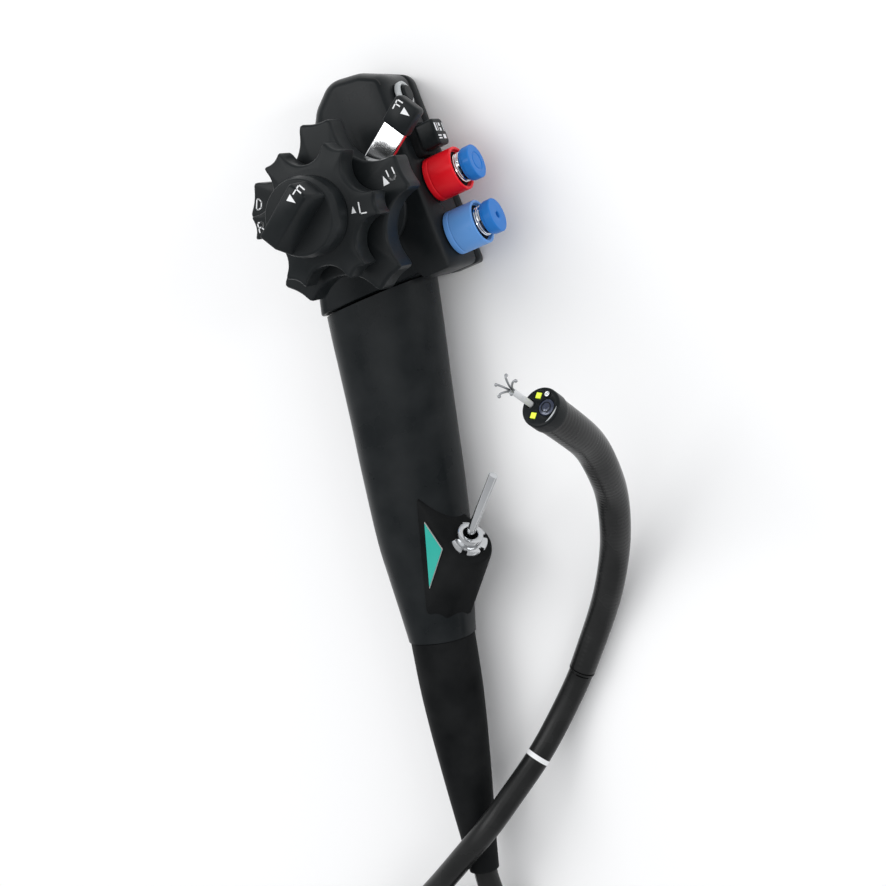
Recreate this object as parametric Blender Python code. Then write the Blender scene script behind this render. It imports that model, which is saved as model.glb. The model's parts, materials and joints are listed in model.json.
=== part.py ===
# A flexible endoscope that lies on a table on its back, knobs up.
# Sizes are in millimetres; MM turns them into Blender's metres.
# +Z is the axis of the control knobs, +Y runs up the grip to the head, +X is the valve side.
# The origin is the foot of the knob axis, on the table.

import bpy
import bmesh
from math import atan2, ceil, copysign, cos, pi, radians, sin, sqrt, tan
from mathutils import Matrix, Vector

MM = 0.001
GAP = 0.3            # running clearance, and the gap between pieces that touch

# Control head
HEAD_TURN = 12.0     # degrees that the head leans against the grip
HEAD_DEPTH = 30.0    # table to knob side
HEAD_WALL = 2.2
BACK_DEPTH = 7.0     # depth of the back cover
GASKET = 1.0
VALVE_FACE = 23.4    # flat side that carries valves and switches
HEAD_FOOT = -28.6    # where the grip starts
LEDGE = -31.0
FOOT_HOLE_R = 8.0    # opening from the head into the grip
PLATE_Z = 4.6        # chassis plate
PLATE_THICK = 2.0
CHASSIS_CORNERS = ((12.0, -24.0, 3.0), (12.0, 30.0, 3.0), (-8.0, 30.0, 3.0), (-20.0, 6.0, 3.0),
                   (-24.0, -24.0, 3.0))
POST_R = 2.8
SCREW_R = 1.1
SCREW_HEAD_R = 2.2
SCREW_SPOTS = ((8.0, -20.0), (-4.0, 26.0))
GLAND_AT = (-10.0, -5.0)    # inlet of the universal cord, in the back cover
GLAND_R = 7.7
GLAND_BORE = 5.0
GLAND_LIP = 1.4

# Knob stack, heights above the table
SPINDLE_R = 2.0
RL_SHAFT_R = 4.4
UD_SHAFT_R = 6.8
SHAFT_WALL = 1.9
BUSH_R = 9.4
BRAKE_R = 16.5
BRAKE_TOP = 42.0
LEVER_Z = 42.6
LEVER_THICK = 2.4
UD_WHEEL_Z = 46.5
UD_WHEEL_H = 10.0
UD_WHEEL_R = 32.2
UD_LOBE_HALF = 11.3    # degrees
UD_LOBES = 5
UD_PHASE = 5.4
RL_WHEEL_Z = 59.0
RL_WHEEL_H = 9.0
RL_WHEEL_R = 25.0
RL_LOBE_HALF = 9.6
RL_LOBES = 6
RL_PHASE = -11.4
RL_HUB_R = 14.5
LOCK_R = 13.6
LOCK_Z = 69.0
LOCK_H = 9.3
LOCK_BORE_DEPTH = 7.0
BAR_H = 11.7
BAR_W = 9.0
BAR_TURN = 33.0
LEVER_TURN = 33.0
LEVER_W = 8.8
LEVER_R = 34.0
TAB_LONG = 10.6
TAB_W = 10.0
TAB_H = 6.0
PULLEY_R = 10.5
PULLEY_H = 4.0
UD_PULLEY_Z = 17.0
RL_PULLEY_Z = 10.4

# Valves on the valve face
VALVE_Z = 19.0
SUCTION_H = 0.6
AIR_H = -19.4
VALVE_R = 6.2
VALVE_FOOT = 14.0
VALVE_TOP = 33.8
VALVE_BORE = 4.6
COLLAR_R = 8.0
COLLAR_END = 35.3
CAP_R = 6.15
CAP_FOOT = 37.4
CAP_H = 4.2
STEM_R = 3.0
PISTON_R = 4.2
SPRING_R = 5.0
SPRING_WIRE = 0.45
SPRING_TURNS = 2.5
VALVE_TRAVEL = 2.8

# Remote switches
ROUND_H = 32.3
ROUND_R = 4.3
ROUND_OUT = 3.2
BOX_H = 15.4
BOX_LONG = 9.6
BOX_TALL = 8.6
BOX_OUT = 9.2
BEZEL = 1.5
BEZEL_OUT = 2.6
KEY_STEM_R = 2.0
SWITCH_TRAVEL = 0.8

# Grip and boot
GRIP_Z = 15.6
GRIP_WALL = 2.2
GRIP_END = -160.0
BOOT_END = -252.0
TUBE_R = 4.5

# Instrument port
PORT_Y = GRIP_END + 35.9
PORT_FOOT = (12.0, PORT_Y, 23.7)
PORT_AXIS = (0.600, 0.680, 0.420)
FACET_R = 9.5
LEAF_TIP = (-1.3, PORT_Y + 19.3, 31.0)     # ends of the raised leaf beside the port, on the grip
LEAF_FOOT = (-6.8, PORT_Y - 23.4, 29.4)
BOSS_CORNERS = ((-3.0, PORT_Y - 30.9, 25.5), (5.2, PORT_Y - 27.9, 17.0), (4.0, PORT_Y + 16.1, 18.0),
                (3.0, PORT_Y + 14.1, 12.0), (3.0, PORT_Y - 21.9, 10.0))
LABEL_CORNERS = ((0.25, 0.09), (0.73, 0.07), (0.23, 0.65))    # shares of the way to rim and foot
PORT_STEM_R = 4.2
PORT_BORE = 2.75     # at its mouth
PORT_MOUTH = 3.0     # depth of the mouth; below it the bore guides the forceps shaft
PORT_FLANGE_R = 7.2
PORT_FLANGE_H = 3.0
PORT_LOBES = 6
PORT_RING_R = 4.9
PORT_RING_H = 2.6
PORT_DEPTH = 20.0    # how far its stem reaches into the grip
CHANNEL_TUBE_R = 2.4
ROD_R = 1.6
ROD_OUT = 38.0
ROD_IN = 9.0

# Inside the grip
WIRE_R = 0.8
STEER_LEFT = -12.3   # where the wires pass the hole in the head's foot
STEER_RIGHT = -2.3
STEER_Y = -60.0      # below here they draw together towards the tube

# Bending section
BEND_START = (40.4, -178.9, 5.6)
BEND_HEADING = 60.3
BEND_LEAD = 21.9     # start of the section to its first hinge
BEND_PITCH = 14.8
BEND_HINGES = 8
BEND_UD = 62.4       # degrees of bend at rest, all up and down hinges together
BEND_RL = 23.3
COVER_R0 = 4.9
COVER_R1 = 6.4
COVER_WALL = 0.6
LINK_SIDES = 12
LINK_WALL = 1.6
LINK_FACE = 3.1      # hinge to the face of the ring
LUG_R = 1.55
LUG_THICK = 0.7
PIN_R = 0.45
TIP_LONG = 21.1      # last hinge to the face of the tip
TIP_R = 6.7
CAP_LONG = 6.0
CHANNEL_R = 1.45
CHANNEL_AT = (4.1, -0.5)
LENS_R = 2.9
LENS_AT = (-2.1, -0.2)
LED_SIDE = 2.0
LED_AT = ((2.0, -3.6), (1.6, 3.1))
NOZZLE_R = 0.9
NOZZLE_AT = (-1.3, -4.3)
FORCEPS_R = 1.05
FORCEPS_OUT = 11.0
PRONGS = 5
PRONG_R = 0.36
PRONG_LINE = ((-1.5, 0.45), (1.2, 0.8), (3.0, 1.8), (4.2, 3.0), (3.9, 3.7))    # along the rod, out of it

# Insertion tube where it lies free: its start at the boot, its coil and its way back
COIL_MID = (-37.0, -333.0)
COIL_R = 44.6
LEAD_OUT = ((-9.7, -252.3, 15.6), (-9.2, -261.0, 14.7), (-7.8, -269.5, 12.3), (-5.6, -278.0, 9.0),
            (-3.4, -286.35, 6.4))
LEAD_BACK = ((-51.6, -277.0, 14.8), (-39.5, -266.6, 18.4), (-27.0, -256.5, 22.5), (-10.0, -241.4, 27.6),
             (-2.7, -234.9, 28.0), (3.3, -229.2, 26.0), (11.0, -219.8, 19.5), (19.5, -210.3, 13.0),
             (28.3, -197.1, 6.9), (37.1, -184.2, 5.5), (40.25, -179.15, 5.6))


def turn_z(degrees):
    return Matrix.Rotation(radians(degrees), 4, "Z")


def shift(x, y, z):
    return Matrix.Translation((x, y, z))


HEAD = turn_z(HEAD_TURN)


def frame_along(point, axis, side=(0, 0, 1)):
    """A frame at point whose Z runs along axis and whose Y is as near to side as it can be."""
    z = Vector(axis).normalized()
    x = Vector(side).cross(z).normalized()
    y = z.cross(x)
    frame = Matrix((x, y, z)).transposed().to_4x4()
    frame.translation = Vector(point)
    return frame


def valve_frame(height_h, out=0.0, z=VALVE_Z):
    """A frame on the valve side: Z points out of the head, Y runs towards its top."""
    return HEAD @ frame_along((out, height_h, z), (1, 0, 0), (0, 1, 0))


def material(name, colour, roughness, metallic=0.0):
    made = bpy.data.materials.new(name)
    made.use_nodes = True
    shader = made.node_tree.nodes["Principled BSDF"]
    shader.inputs["Base Color"].default_value = (*colour, 1.0)
    shader.inputs["Roughness"].default_value = roughness
    shader.inputs["Metallic"].default_value = metallic
    return made


FINISHES = {
    "black": ((0.018, 0.019, 0.021), 0.38, 0.0),
    "rubber": ((0.022, 0.023, 0.025), 0.55, 0.0),
    "chrome": ((0.80, 0.81, 0.82), 0.12, 1.0),
    "steel": ((0.55, 0.56, 0.57), 0.30, 1.0),
    "brass": ((0.62, 0.47, 0.20), 0.30, 1.0),
    "red": ((0.66, 0.02, 0.03), 0.35, 0.0),
    "pale_blue": ((0.20, 0.40, 0.75), 0.35, 0.0),
    "blue": ((0.05, 0.24, 0.62), 0.35, 0.0),
    "teal": ((0.01, 0.42, 0.34), 0.40, 0.0),
    "glass": ((0.02, 0.03, 0.06), 0.05, 0.0),
    "lamp": ((0.75, 0.85, 0.05), 0.25, 0.0),
    "clear_tube": ((0.70, 0.72, 0.70), 0.35, 0.0),
    "grey": ((0.45, 0.47, 0.48), 0.35, 0.0),
}


def add(name, mesh, finish, place=None, smooth=38.0):
    """Make the named object of a mesh in millimetres, at its place, with its own material."""
    bmesh.ops.recalc_face_normals(mesh, faces=mesh.faces)
    mesh.transform(Matrix.Scale(MM, 4))
    data = bpy.data.meshes.new(name)
    mesh.to_mesh(data)
    mesh.free()
    data.shade_smooth()
    data.set_sharp_from_angle(angle=radians(smooth))
    made = bpy.data.objects.new(name, data)
    bpy.context.scene.collection.objects.link(made)
    data.materials.append(material(name, *FINISHES[finish]))
    place = (place or Matrix()).copy()
    place.translation = place.translation * MM
    made.matrix_world = place
    return made


def tool(name, mesh, place=None):
    """A cutter or a piece to weld on, which is hidden and isn't built by itself."""
    made = add(name, mesh, "steel", place)
    made.hide_render = True
    made.display_type = "WIRE"
    return made


def combine(target, other, operation):
    step = target.modifiers.new(operation.lower(), "BOOLEAN")
    step.operation = operation
    step.object = other
    step.solver = "EXACT"


def cut(target, *cutters):
    for cutter in cutters:
        combine(target, cutter, "DIFFERENCE")


def weld(target, *others):
    for other in others:
        combine(target, other, "UNION")


def skin(rings, close=False):
    """A closed mesh over rings of equally many points, with flat ends or closed on itself."""
    mesh = bmesh.new()
    made = [[mesh.verts.new(point) for point in ring] for ring in rings]
    pairs = list(zip(made, made[1:]))
    if close:
        pairs.append((made[-1], made[0]))
    else:
        mesh.faces.new(made[0])
        mesh.faces.new(made[-1])
    for low, high in pairs:
        count = len(low)
        for i in range(count):
            j = (i + 1) % count
            mesh.faces.new((low[i], low[j], high[j], high[i]))
    return mesh


def circle(radius, z=0.0, sides=24, x=0.0, y=0.0):
    turns = (2 * pi * i / sides for i in range(sides))
    return [Vector((x + radius * cos(a), y + radius * sin(a), z)) for a in turns]


def lathe(profile, sides=24, close=False):
    """A turned solid about Z. A profile that isn't closed starts and ends on flat faces."""
    return skin([circle(r, z, sides) for r, z in profile], close)


def rod(radius, z0, z1, sides=24, x=0.0, y=0.0):
    return skin([circle(radius, z0, sides, x, y), circle(radius, z1, sides, x, y)])


def pipe(outer, inner, z0, z1, sides=24):
    return lathe(((outer, z0), (outer, z1), (inner, z1), (inner, z0)), sides, close=True)


def box(low, high):
    corners = [(low[0], low[1]), (high[0], low[1]), (high[0], high[1]), (low[0], high[1])]
    return skin([[Vector((x, y, z)) for x, y in corners] for z in (low[2], high[2])])


def prism(outline, z0, z1):
    return skin([[Vector((x, y, z)) for x, y in outline] for z in (z0, z1)])


def join(*meshes):
    """One mesh of several separate solids."""
    whole = bmesh.new()
    for mesh in meshes:
        part = bpy.data.meshes.new("part")
        mesh.to_mesh(part)
        mesh.free()
        whole.from_mesh(part)
        bpy.data.meshes.remove(part)
    return whole


def moved(mesh, place):
    mesh.transform(place)
    return mesh


def rounded(corners, steps=2):
    """The outline of a polygon whose corners, given as (x, y, radius), are rounded."""
    points = []
    for i, (x, y, radius) in enumerate(corners):
        here = Vector((x, y))
        back = Vector(corners[i - 1][:2]) - here
        ahead = Vector(corners[(i + 1) % len(corners)][:2]) - here
        if radius == 0:
            points.append(here)
            continue
        half = back.angle(ahead) / 2
        reach = radius / tan(half)
        start = here + back.normalized() * reach
        end = here + ahead.normalized() * reach
        mid = here + (back.normalized() + ahead.normalized()).normalized() * radius / sin(half)
        a0 = atan2(*(start - mid).yx)
        a1 = atan2(*(end - mid).yx)
        sweep = (a1 - a0 + pi) % (2 * pi) - pi
        for k in range(steps + 1):
            a = a0 + sweep * k / steps
            points.append(mid + Vector((cos(a), sin(a))) * radius)
    return points


# Head

HEAD_CORNERS = ((VALVE_FACE, LEDGE, 2.5), (VALVE_FACE, 40.5, 5.0), (14.0, 45.2, 9.0), (1.8, 47.2, 10.0),
                (-6.8, 40.3, 12.0), (-24.0, 12.0, 25.0), (-35.8, HEAD_FOOT, 1.0), (9.7, HEAD_FOOT, 1.0),
                (11.0, LEDGE, 1.0))
# Its front edge: each level's depth below the face, and its insets on the far side, valve side and foot
HEAD_EDGE = ((8.0, 0.0, 0.0, 0.0), (4.0, 1.4, 0.2, 0.0), (1.2, 3.4, 0.9, 0.3), (0.0, 6.4, 2.4, 0.9))
HEAD_FOOT_EDGE = 6    # the outline's edges from here on lie at the foot


def head_outline(left=0.0, right=0.0, foot=0.0):
    """The head's outline, set in by its own amount on the far side, the valve side and the foot."""
    lines = []
    for i, (x, y, _) in enumerate(HEAD_CORNERS):
        after = HEAD_CORNERS[(i + 1) % len(HEAD_CORNERS)]
        along = Vector((after[0] - x, after[1] - y)).normalized()
        normal = Vector((along.y, -along.x))
        share = min(max((normal.x + 0.6) / 1.2, 0.0), 1.0)
        less = foot if i >= HEAD_FOOT_EDGE else left + (right - left) * share
        lines.append((Vector((x, y)) - normal * less, along, less))
    corners = []
    for i, (_, _, radius) in enumerate(HEAD_CORNERS):
        (a, along_a, less_a), (b, along_b, less_b) = lines[i - 1], lines[i]
        corner = a + along_a * ((b - a).cross(along_b) / along_a.cross(along_b))
        corners.append((corner.x, corner.y, max(radius - max(less_a, less_b), 0.8)))
    return rounded(corners)


def ring_at(outline, z):
    return [Vector((p.x, p.y, z)) for p in outline]


def wall_hole(radius, height_h, z=VALVE_Z, start=15.0, end=30.0):
    return moved(rod(radius, start, end, 20), valve_frame(height_h, 0.0, z))


def back_cover():
    wall = HEAD_WALL
    rings = [ring_at(head_outline(4.0 + wall, 1.0 + wall, wall), wall),
             ring_at(head_outline(wall, wall, wall), 4.0),
             ring_at(head_outline(wall, wall, wall), BACK_DEPTH),
             ring_at(head_outline(), BACK_DEPTH),
             ring_at(head_outline(), 4.5),
             ring_at(head_outline(1.6, 0.7), 1.4),
             ring_at(head_outline(5.0, 2.2), 0.0)]
    made = add("back_cover", skin(rings), "black", HEAD)
    cut(made, tool("back_foot_cut", foot_hole()))
    holes = [rod(GLAND_R + GAP, -1.0, HEAD_WALL + 1.0, 24, *GLAND_AT)]
    for x, y in SCREW_SPOTS:
        sink = lathe(screw_profile(-GAP, GAP, HEAD_WALL + 1.0), 12)
        holes.append(moved(sink, shift(x, y, 0.0)))
    cut(made, tool("cover_holes", join(*holes), HEAD))


def foot_hole():
    """The opening at the head's foot into the grip, as a cutter in the row's frame."""
    down = frame_along((grip_mid(HEAD_FOOT), 0, GRIP_Z), (0, -1, 0))
    return moved(rod(FOOT_HOLE_R, 20.0, 45.0, 24), down)


def screw_profile(low, clear, high):
    """A countersunk screw from its head at low up to high, grown by clear."""
    head, shank = SCREW_HEAD_R + clear, SCREW_R + clear
    return (head, low), (head, 0.8), (shank, 0.8 + SCREW_HEAD_R - SCREW_R), (shank, high)


def cover_screws():
    """The countersunk screws that hold the back cover to the chassis."""
    for i, (x, y) in enumerate(SCREW_SPOTS):
        screw = lathe(screw_profile(GAP, 0.0, PLATE_Z + 1.0), 12)
        add(f"cover_screw_{i + 1}", moved(screw, shift(x, y, 0.0)), "steel", HEAD)


def cord_gland():
    """The inlet of the universal cord: a flanged ring that stands in the back cover's floor."""
    lip = GLAND_R + GLAND_LIP
    low = HEAD_WALL + GAP
    profile = ((GLAND_R, GAP), (GLAND_R, low), (lip, low), (lip, PLATE_Z - GAP), (GLAND_BORE, PLATE_Z - GAP),
               (GLAND_BORE, GAP))
    add("cord_gland", moved(lathe(profile, 22, close=True), shift(*GLAND_AT, 0.0)), "black", HEAD)


def main_housing():
    wall = HEAD_WALL
    base = BACK_DEPTH + GASKET + 2 * GAP
    top = HEAD_DEPTH
    rings = [ring_at(head_outline(7.0 + wall, 2.0 + wall, wall), top - wall),
             ring_at(head_outline(wall, wall, wall), top - 7.0),
             ring_at(head_outline(wall, wall, wall), base),
             ring_at(head_outline(), base)]
    rings += [ring_at(head_outline(left, right, foot), top - down) for down, left, right, foot in HEAD_EDGE]
    made = add("main_housing", skin(rings), "black", HEAD)
    bezel = rounded_box(BOX_LONG + 2 * BEZEL, BOX_TALL + 2 * BEZEL, 2.0, VALVE_FACE - 1.0,
                        VALVE_FACE + BEZEL_OUT)
    weld(made, tool("switch_bezel", bezel, valve_frame(BOX_H)))
    pocket = rounded_box(BOX_LONG + 2 * GAP, BOX_TALL + 2 * GAP, 1.2, VALVE_FACE,
                         VALVE_FACE + BEZEL_OUT + 1.0)
    cut(made, tool("bezel_pocket", pocket, valve_frame(BOX_H)))
    cutters = join(wall_hole(VALVE_R + GAP, SUCTION_H), wall_hole(VALVE_R + GAP, AIR_H),
                   wall_hole(ROUND_R - 1.0, ROUND_H), wall_hole(KEY_STEM_R + GAP, BOX_H),
                   rod(BUSH_R + GAP, top - 8, top + 8, 32), foot_hole())
    cut(made, tool("housing_cuts", cutters))


def housing_gasket():
    outer = head_outline(0.5, 0.5, 0.5)
    inner = head_outline(HEAD_WALL, HEAD_WALL, HEAD_WALL)
    low = BACK_DEPTH + GAP
    high = low + GASKET
    rings = [ring_at(outer, low), ring_at(outer, high), ring_at(inner, high), ring_at(inner, low)]
    made = add("housing_gasket", skin(rings, close=True), "rubber", HEAD)
    cut(made, tool("gasket_foot_cut", foot_hole()))


def chassis():
    """The plate inside the back that carries the spindle, with a post over each cover screw."""
    outline = rounded(CHASSIS_CORNERS)
    made = add("chassis_plate", prism(outline, PLATE_Z, PLATE_Z + PLATE_THICK), "steel", HEAD)
    posts = [rod(POST_R, HEAD_WALL + GAP, PLATE_Z + 0.5, 12, x, y) for x, y in SCREW_SPOTS]
    weld(made, *[tool(f"post_{i}", post, HEAD) for i, post in enumerate(posts)])
    bores = [rod(SCREW_R + GAP, 0.0, PLATE_Z + PLATE_THICK + 1.0, 12, x, y) for x, y in SCREW_SPOTS]
    cut(made, tool("screw_bores", join(*bores), HEAD))


# Knobs

def spindle_and_bush():
    low = PLATE_Z + PLATE_THICK + GAP
    foot = SPINDLE_R + 2.5
    profile = ((foot, low), (foot, low + 1.2), (SPINDLE_R, low + 1.2),
               (SPINDLE_R, LOCK_Z + LOCK_BORE_DEPTH))
    add("knob_spindle", lathe(profile, 16), "steel")
    low = HEAD_DEPTH - HEAD_WALL - 2.0
    add("shaft_bush", pipe(BUSH_R, UD_SHAFT_R + GAP, low, UD_WHEEL_Z - GAP, 24), "brass")
    brake = lathe(((BRAKE_R, HEAD_DEPTH + GAP), (BRAKE_R, BRAKE_TOP - 1.0), (BRAKE_R - 1.0, BRAKE_TOP),
                   (BUSH_R + GAP, BRAKE_TOP), (BUSH_R + GAP, BRAKE_TOP - 2.0),
                   (BRAKE_R - 2.0, BRAKE_TOP - 2.0),
                   (BRAKE_R - 2.0, HEAD_DEPTH + GAP)), 26, close=True)
    add("brake_housing", brake, "black")
    disc = pipe(BRAKE_R - 2.0 - GAP, BUSH_R + GAP, HEAD_DEPTH + 3.0, HEAD_DEPTH + 6.0, 26)
    add("ud_brake_disc", disc, "rubber")


def shaft(name, outer, z, top):
    """A hollow shaft with a grooved wire pulley at its foot, turned from one piece."""
    half = PULLEY_H / 2
    bore = outer - SHAFT_WALL
    profile = ((PULLEY_R, z), (PULLEY_R, z + 1.0), (PULLEY_R - 1.2, z + half), (PULLEY_R, z + PULLEY_H - 1.0),
               (PULLEY_R, z + PULLEY_H), (outer, z + PULLEY_H), (outer, top), (bore, top), (bore, z))
    add(name, lathe(profile, 18, close=True), "steel")


def shafts():
    shaft("ud_shaft", UD_SHAFT_R, UD_PULLEY_Z, UD_WHEEL_Z + UD_WHEEL_H - 0.6)
    shaft("rl_shaft", RL_SHAFT_R, RL_PULLEY_Z, RL_WHEEL_Z + RL_WHEEL_H - 0.6)


def scallop(radius, lobes, phase, lobe_half, depth, dip, steps=6, tip_steps=2):
    """The outline of a knob: deep finger notches between lobes whose tips are slightly hollow."""
    points = []
    pitch = 360.0 / lobes
    for k in range(lobes):
        mid = phase + k * pitch
        for start, end, sag, count in ((mid - lobe_half, mid + lobe_half, dip, tip_steps),
                                       (mid + lobe_half, mid + pitch - lobe_half, depth, steps)):
            a = Vector((cos(radians(start)), sin(radians(start)))) * radius
            b = Vector((cos(radians(end)), sin(radians(end)))) * radius
            points += arc_between(a, b, sag, count)
    return points


def arc_between(a, b, sag, count):
    """Points from a to just before b on an arc that sinks by sag towards the origin."""
    chord = (b - a).length
    bend = (chord * chord / 4 + sag * sag) / (2 * sag)
    middle = (a + b) / 2
    out = middle.normalized()
    centre = middle + out * (bend - sag)
    first = atan2(*(a - centre).yx)
    last = atan2(*(b - centre).yx)
    sweep = (last - first + pi) % (2 * pi) - pi
    return [centre + Vector((cos(first + sweep * i / count), sin(first + sweep * i / count))) * bend
            for i in range(count)]


def wheel(name, outline, z, height, bore, edge=0.8, rise=0.0, rise_r=0.0, hub=0.0):
    """A scalloped hand wheel with a bore, a face that rises to radius rise_r, and a hub below it."""
    low = [p * (1 - edge / p.length) for p in outline]
    hole = [p.normalized() * bore for p in outline]
    rings = [ring_at(hole, z), ring_at(low, z), ring_at(outline, z + edge),
             ring_at(outline, z + height - edge), ring_at(low, z + height)]
    if rise:
        rings.append(ring_at([p.normalized() * rise_r for p in outline], z + height + rise))
    rings.append(ring_at(hole, z + height + rise))
    if hub:
        rings[0] = ring_at(hole, z - hub)
        rings.insert(1, ring_at([p.normalized() * rise_r for p in outline], z))
        rings.insert(1, ring_at([p.normalized() * rise_r for p in outline], z - hub))
    return add(name, skin(rings, close=True), "black", HEAD)


def knobs():
    wheel("ud_wheel", scallop(UD_WHEEL_R, UD_LOBES, UD_PHASE, UD_LOBE_HALF, 8.0, 1.2), UD_WHEEL_Z, UD_WHEEL_H,
          UD_SHAFT_R + GAP)
    wheel("rl_wheel", scallop(RL_WHEEL_R, RL_LOBES, RL_PHASE, RL_LOBE_HALF, 6.5, 1.5), RL_WHEEL_Z, RL_WHEEL_H,
          RL_SHAFT_R + GAP, rise=0.6, rise_r=RL_HUB_R, hub=RL_WHEEL_Z - UD_WHEEL_Z - UD_WHEEL_H - GAP)


def lock_knob():
    bore = SPINDLE_R + GAP
    top = LOCK_Z + LOCK_H
    ceiling = LOCK_Z + LOCK_BORE_DEPTH + GAP
    rings = [circle(bore, ceiling, 32), circle(bore, LOCK_Z, 32), circle(LOCK_R, LOCK_Z, 32),
             circle(LOCK_R, top - 0.8, 32), circle(LOCK_R - 0.8, top, 32)]
    place = HEAD @ turn_z(BAR_TURN)
    made = add("rl_lock_knob", skin(rings), "black", place)
    end = sqrt((LOCK_R - 0.8) ** 2 - (BAR_W / 2) ** 2)
    foot = [(-end, -BAR_W / 2), (end, -BAR_W / 2), (end, BAR_W / 2), (-end, BAR_W / 2)]
    crest = [(-9.0, -3.5), (end - 0.3, -3.5), (end - 0.3, 3.5), (-9.0, 3.5)]
    rings = [[Vector((x, y, z)) for x, y in line] for line, z in
             ((foot, top - 2.0), (foot, top + 0.5), (crest, top + BAR_H))]
    weld(made, tool("lock_bar", skin(rings), place))


def lock_lever():
    place = HEAD @ turn_z(LEVER_TURN)
    top = LEVER_Z + LEVER_THICK
    hub_r = 13.6
    half = LEVER_W / 2
    inner = BUSH_R + GAP
    made = add("ud_lock_lever", pipe(hub_r, inner, LEVER_Z, top, 32), "chrome", place)
    arm = prism(((inner + 1.2, -half), (LEVER_R + 6.0, -half), (LEVER_R + 6.0, half), (inner + 1.2, half)),
                LEVER_Z, top)
    weld(made, tool("lever_arm", arm, place))
    edge = rounded(((LEVER_R, -TAB_W / 2, 1.0), (LEVER_R + TAB_LONG, -TAB_W / 2, 1.6),
                    (LEVER_R + TAB_LONG, TAB_W / 2, 1.6), (LEVER_R, TAB_W / 2, 1.0)), 2)
    mid = LEVER_Z + LEVER_THICK / 2
    tab = add("lever_tab", prism(edge, mid - TAB_H / 2, mid + TAB_H / 2), "black", place)
    slot = box((LEVER_R - 1.0, -half - GAP, LEVER_Z - GAP), (LEVER_R + 6.0 + GAP, half + GAP, top + GAP))
    cut(tab, tool("lever_slot", slot, place))


# Valves and switches

def valve(name, height_h, collar_finish):
    """A cylinder in the head, its coloured collar, and the sprung piston with its cap."""
    place = valve_frame(height_h)
    floor = VALVE_FOOT + 1.5
    cylinder = [circle(VALVE_BORE, floor, 20), circle(VALVE_BORE, VALVE_TOP, 20),
                circle(VALVE_R, VALVE_TOP, 20), circle(VALVE_R, VALVE_FOOT, 20)]
    add(f"{name}_cylinder", skin(cylinder), "steel", place)
    collar = lathe(((COLLAR_R, VALVE_FACE + GAP), (COLLAR_R, COLLAR_END - 0.6), (COLLAR_R - 0.6, COLLAR_END),
                    (CAP_R + 0.75, COLLAR_END), (VALVE_R + GAP, COLLAR_END - 1.0),
                    (VALVE_R + GAP, VALVE_FACE + GAP)), 22, close=True)
    add(f"{name}_collar", collar, collar_finish, place)
    piston_foot = floor + VALVE_TRAVEL + 1.5
    piston = [circle(PISTON_R, piston_foot, 16), circle(PISTON_R, VALVE_TOP - 6.0, 16),
              circle(STEM_R, VALVE_TOP - 5.0, 16), circle(STEM_R, CAP_FOOT + 2.0, 16)]
    add(f"{name}_piston", skin(piston), "steel", place)
    socket = STEM_R + GAP
    rings = [circle(socket, CAP_FOOT + 2.0 + GAP), circle(socket, CAP_FOOT), circle(CAP_R, CAP_FOOT),
             circle(CAP_R, CAP_FOOT + CAP_H - 0.7), circle(CAP_R - 0.7, CAP_FOOT + CAP_H)]
    add(f"{name}_cap", skin(rings), "blue", place)
    spring(f"{name}_spring", place, VALVE_TOP + GAP, CAP_FOOT - GAP)


def spring(name, place, low, high, per_turn=11, sides=4):
    """A coil spring that stands between the cylinder and the cap."""
    start = low + SPRING_WIRE
    climb = high - low - 2 * SPRING_WIRE
    count = ceil(SPRING_TURNS * per_turn)
    rings = []
    for i in range(count + 1):
        a = 2 * pi * SPRING_TURNS * i / count
        out = Vector((cos(a), sin(a), 0.0))
        mid = out * SPRING_R + Vector((0, 0, start + climb * i / count))
        rings.append([mid + (out * cos(b) + Vector((0, 0, sin(b)))) * SPRING_WIRE
                      for b in (2 * pi * k / sides for k in range(sides))])
    add(name, skin(rings), "chrome", place)


def switches():
    place = valve_frame(ROUND_H)
    face = VALVE_FACE + GAP
    add("round_switch_ring", pipe(ROUND_R + 0.6, ROUND_R - 0.8, face, face + 2.2, 20), "grey", place)
    button = ((ROUND_R - 1.6, face - 5.0), (ROUND_R - 1.6, face + 0.4), (ROUND_R - 1.1, face + 0.5),
              (ROUND_R - 1.1, face + ROUND_OUT - 0.5), (ROUND_R - 1.8, face + ROUND_OUT))
    add("round_switch_button", lathe(button, 20), "black", place)
    place = valve_frame(BOX_H)
    key = add("box_switch_key", rounded_box(BOX_LONG, BOX_TALL, 1.4, face + SWITCH_TRAVEL + GAP,
                                            face + BOX_OUT, 0.6), "black", place)
    weld(key, tool("box_switch_stem", rod(KEY_STEM_R, face - 5.0, face + 2.0, 12), place))


def rounded_box(wide, tall, radius, z0, z1, chamfer=0.0):
    """A block with rounded corners in the frame of the valve side, its Y towards the head's top."""
    def outline(less):
        x, y = tall / 2 - less, wide / 2 - less
        r = radius - less / 2
        return rounded(((x, -y, r), (x, y, r), (-x, y, r), (-x, -y, r)), 2)
    if chamfer:
        return skin([ring_at(outline(0), z0), ring_at(outline(0), z1 - chamfer),
                     ring_at(outline(chamfer), z1)])
    return skin([ring_at(outline(0), z0), ring_at(outline(0), z1)])


# Grip, boot and what they hold

GRIP_STATIONS = ((-31.3, 22.1, 15.0), (-42.0, 21.7, 15.1), (-53.0, 21.1, 15.2), (-74.0, 20.0, 15.3),
                 (-97.0, 19.1, 15.3), (-121.0, 17.7, 15.0), (-135.0, 15.8, 14.3), (-149.0, 13.8, 13.2),
                 (GRIP_END, 12.4, 12.2))
BOOT_STATIONS = ((GRIP_END - GAP, 12.2, 12.1), (-178.0, 11.9, 11.8), (-189.0, 11.3, 11.3),
                 (-200.0, 10.5, 10.5), (-220.0, 8.7, 8.7), (-240.0, 6.7, 6.7), (BOOT_END, 5.7, 5.7))


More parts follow.
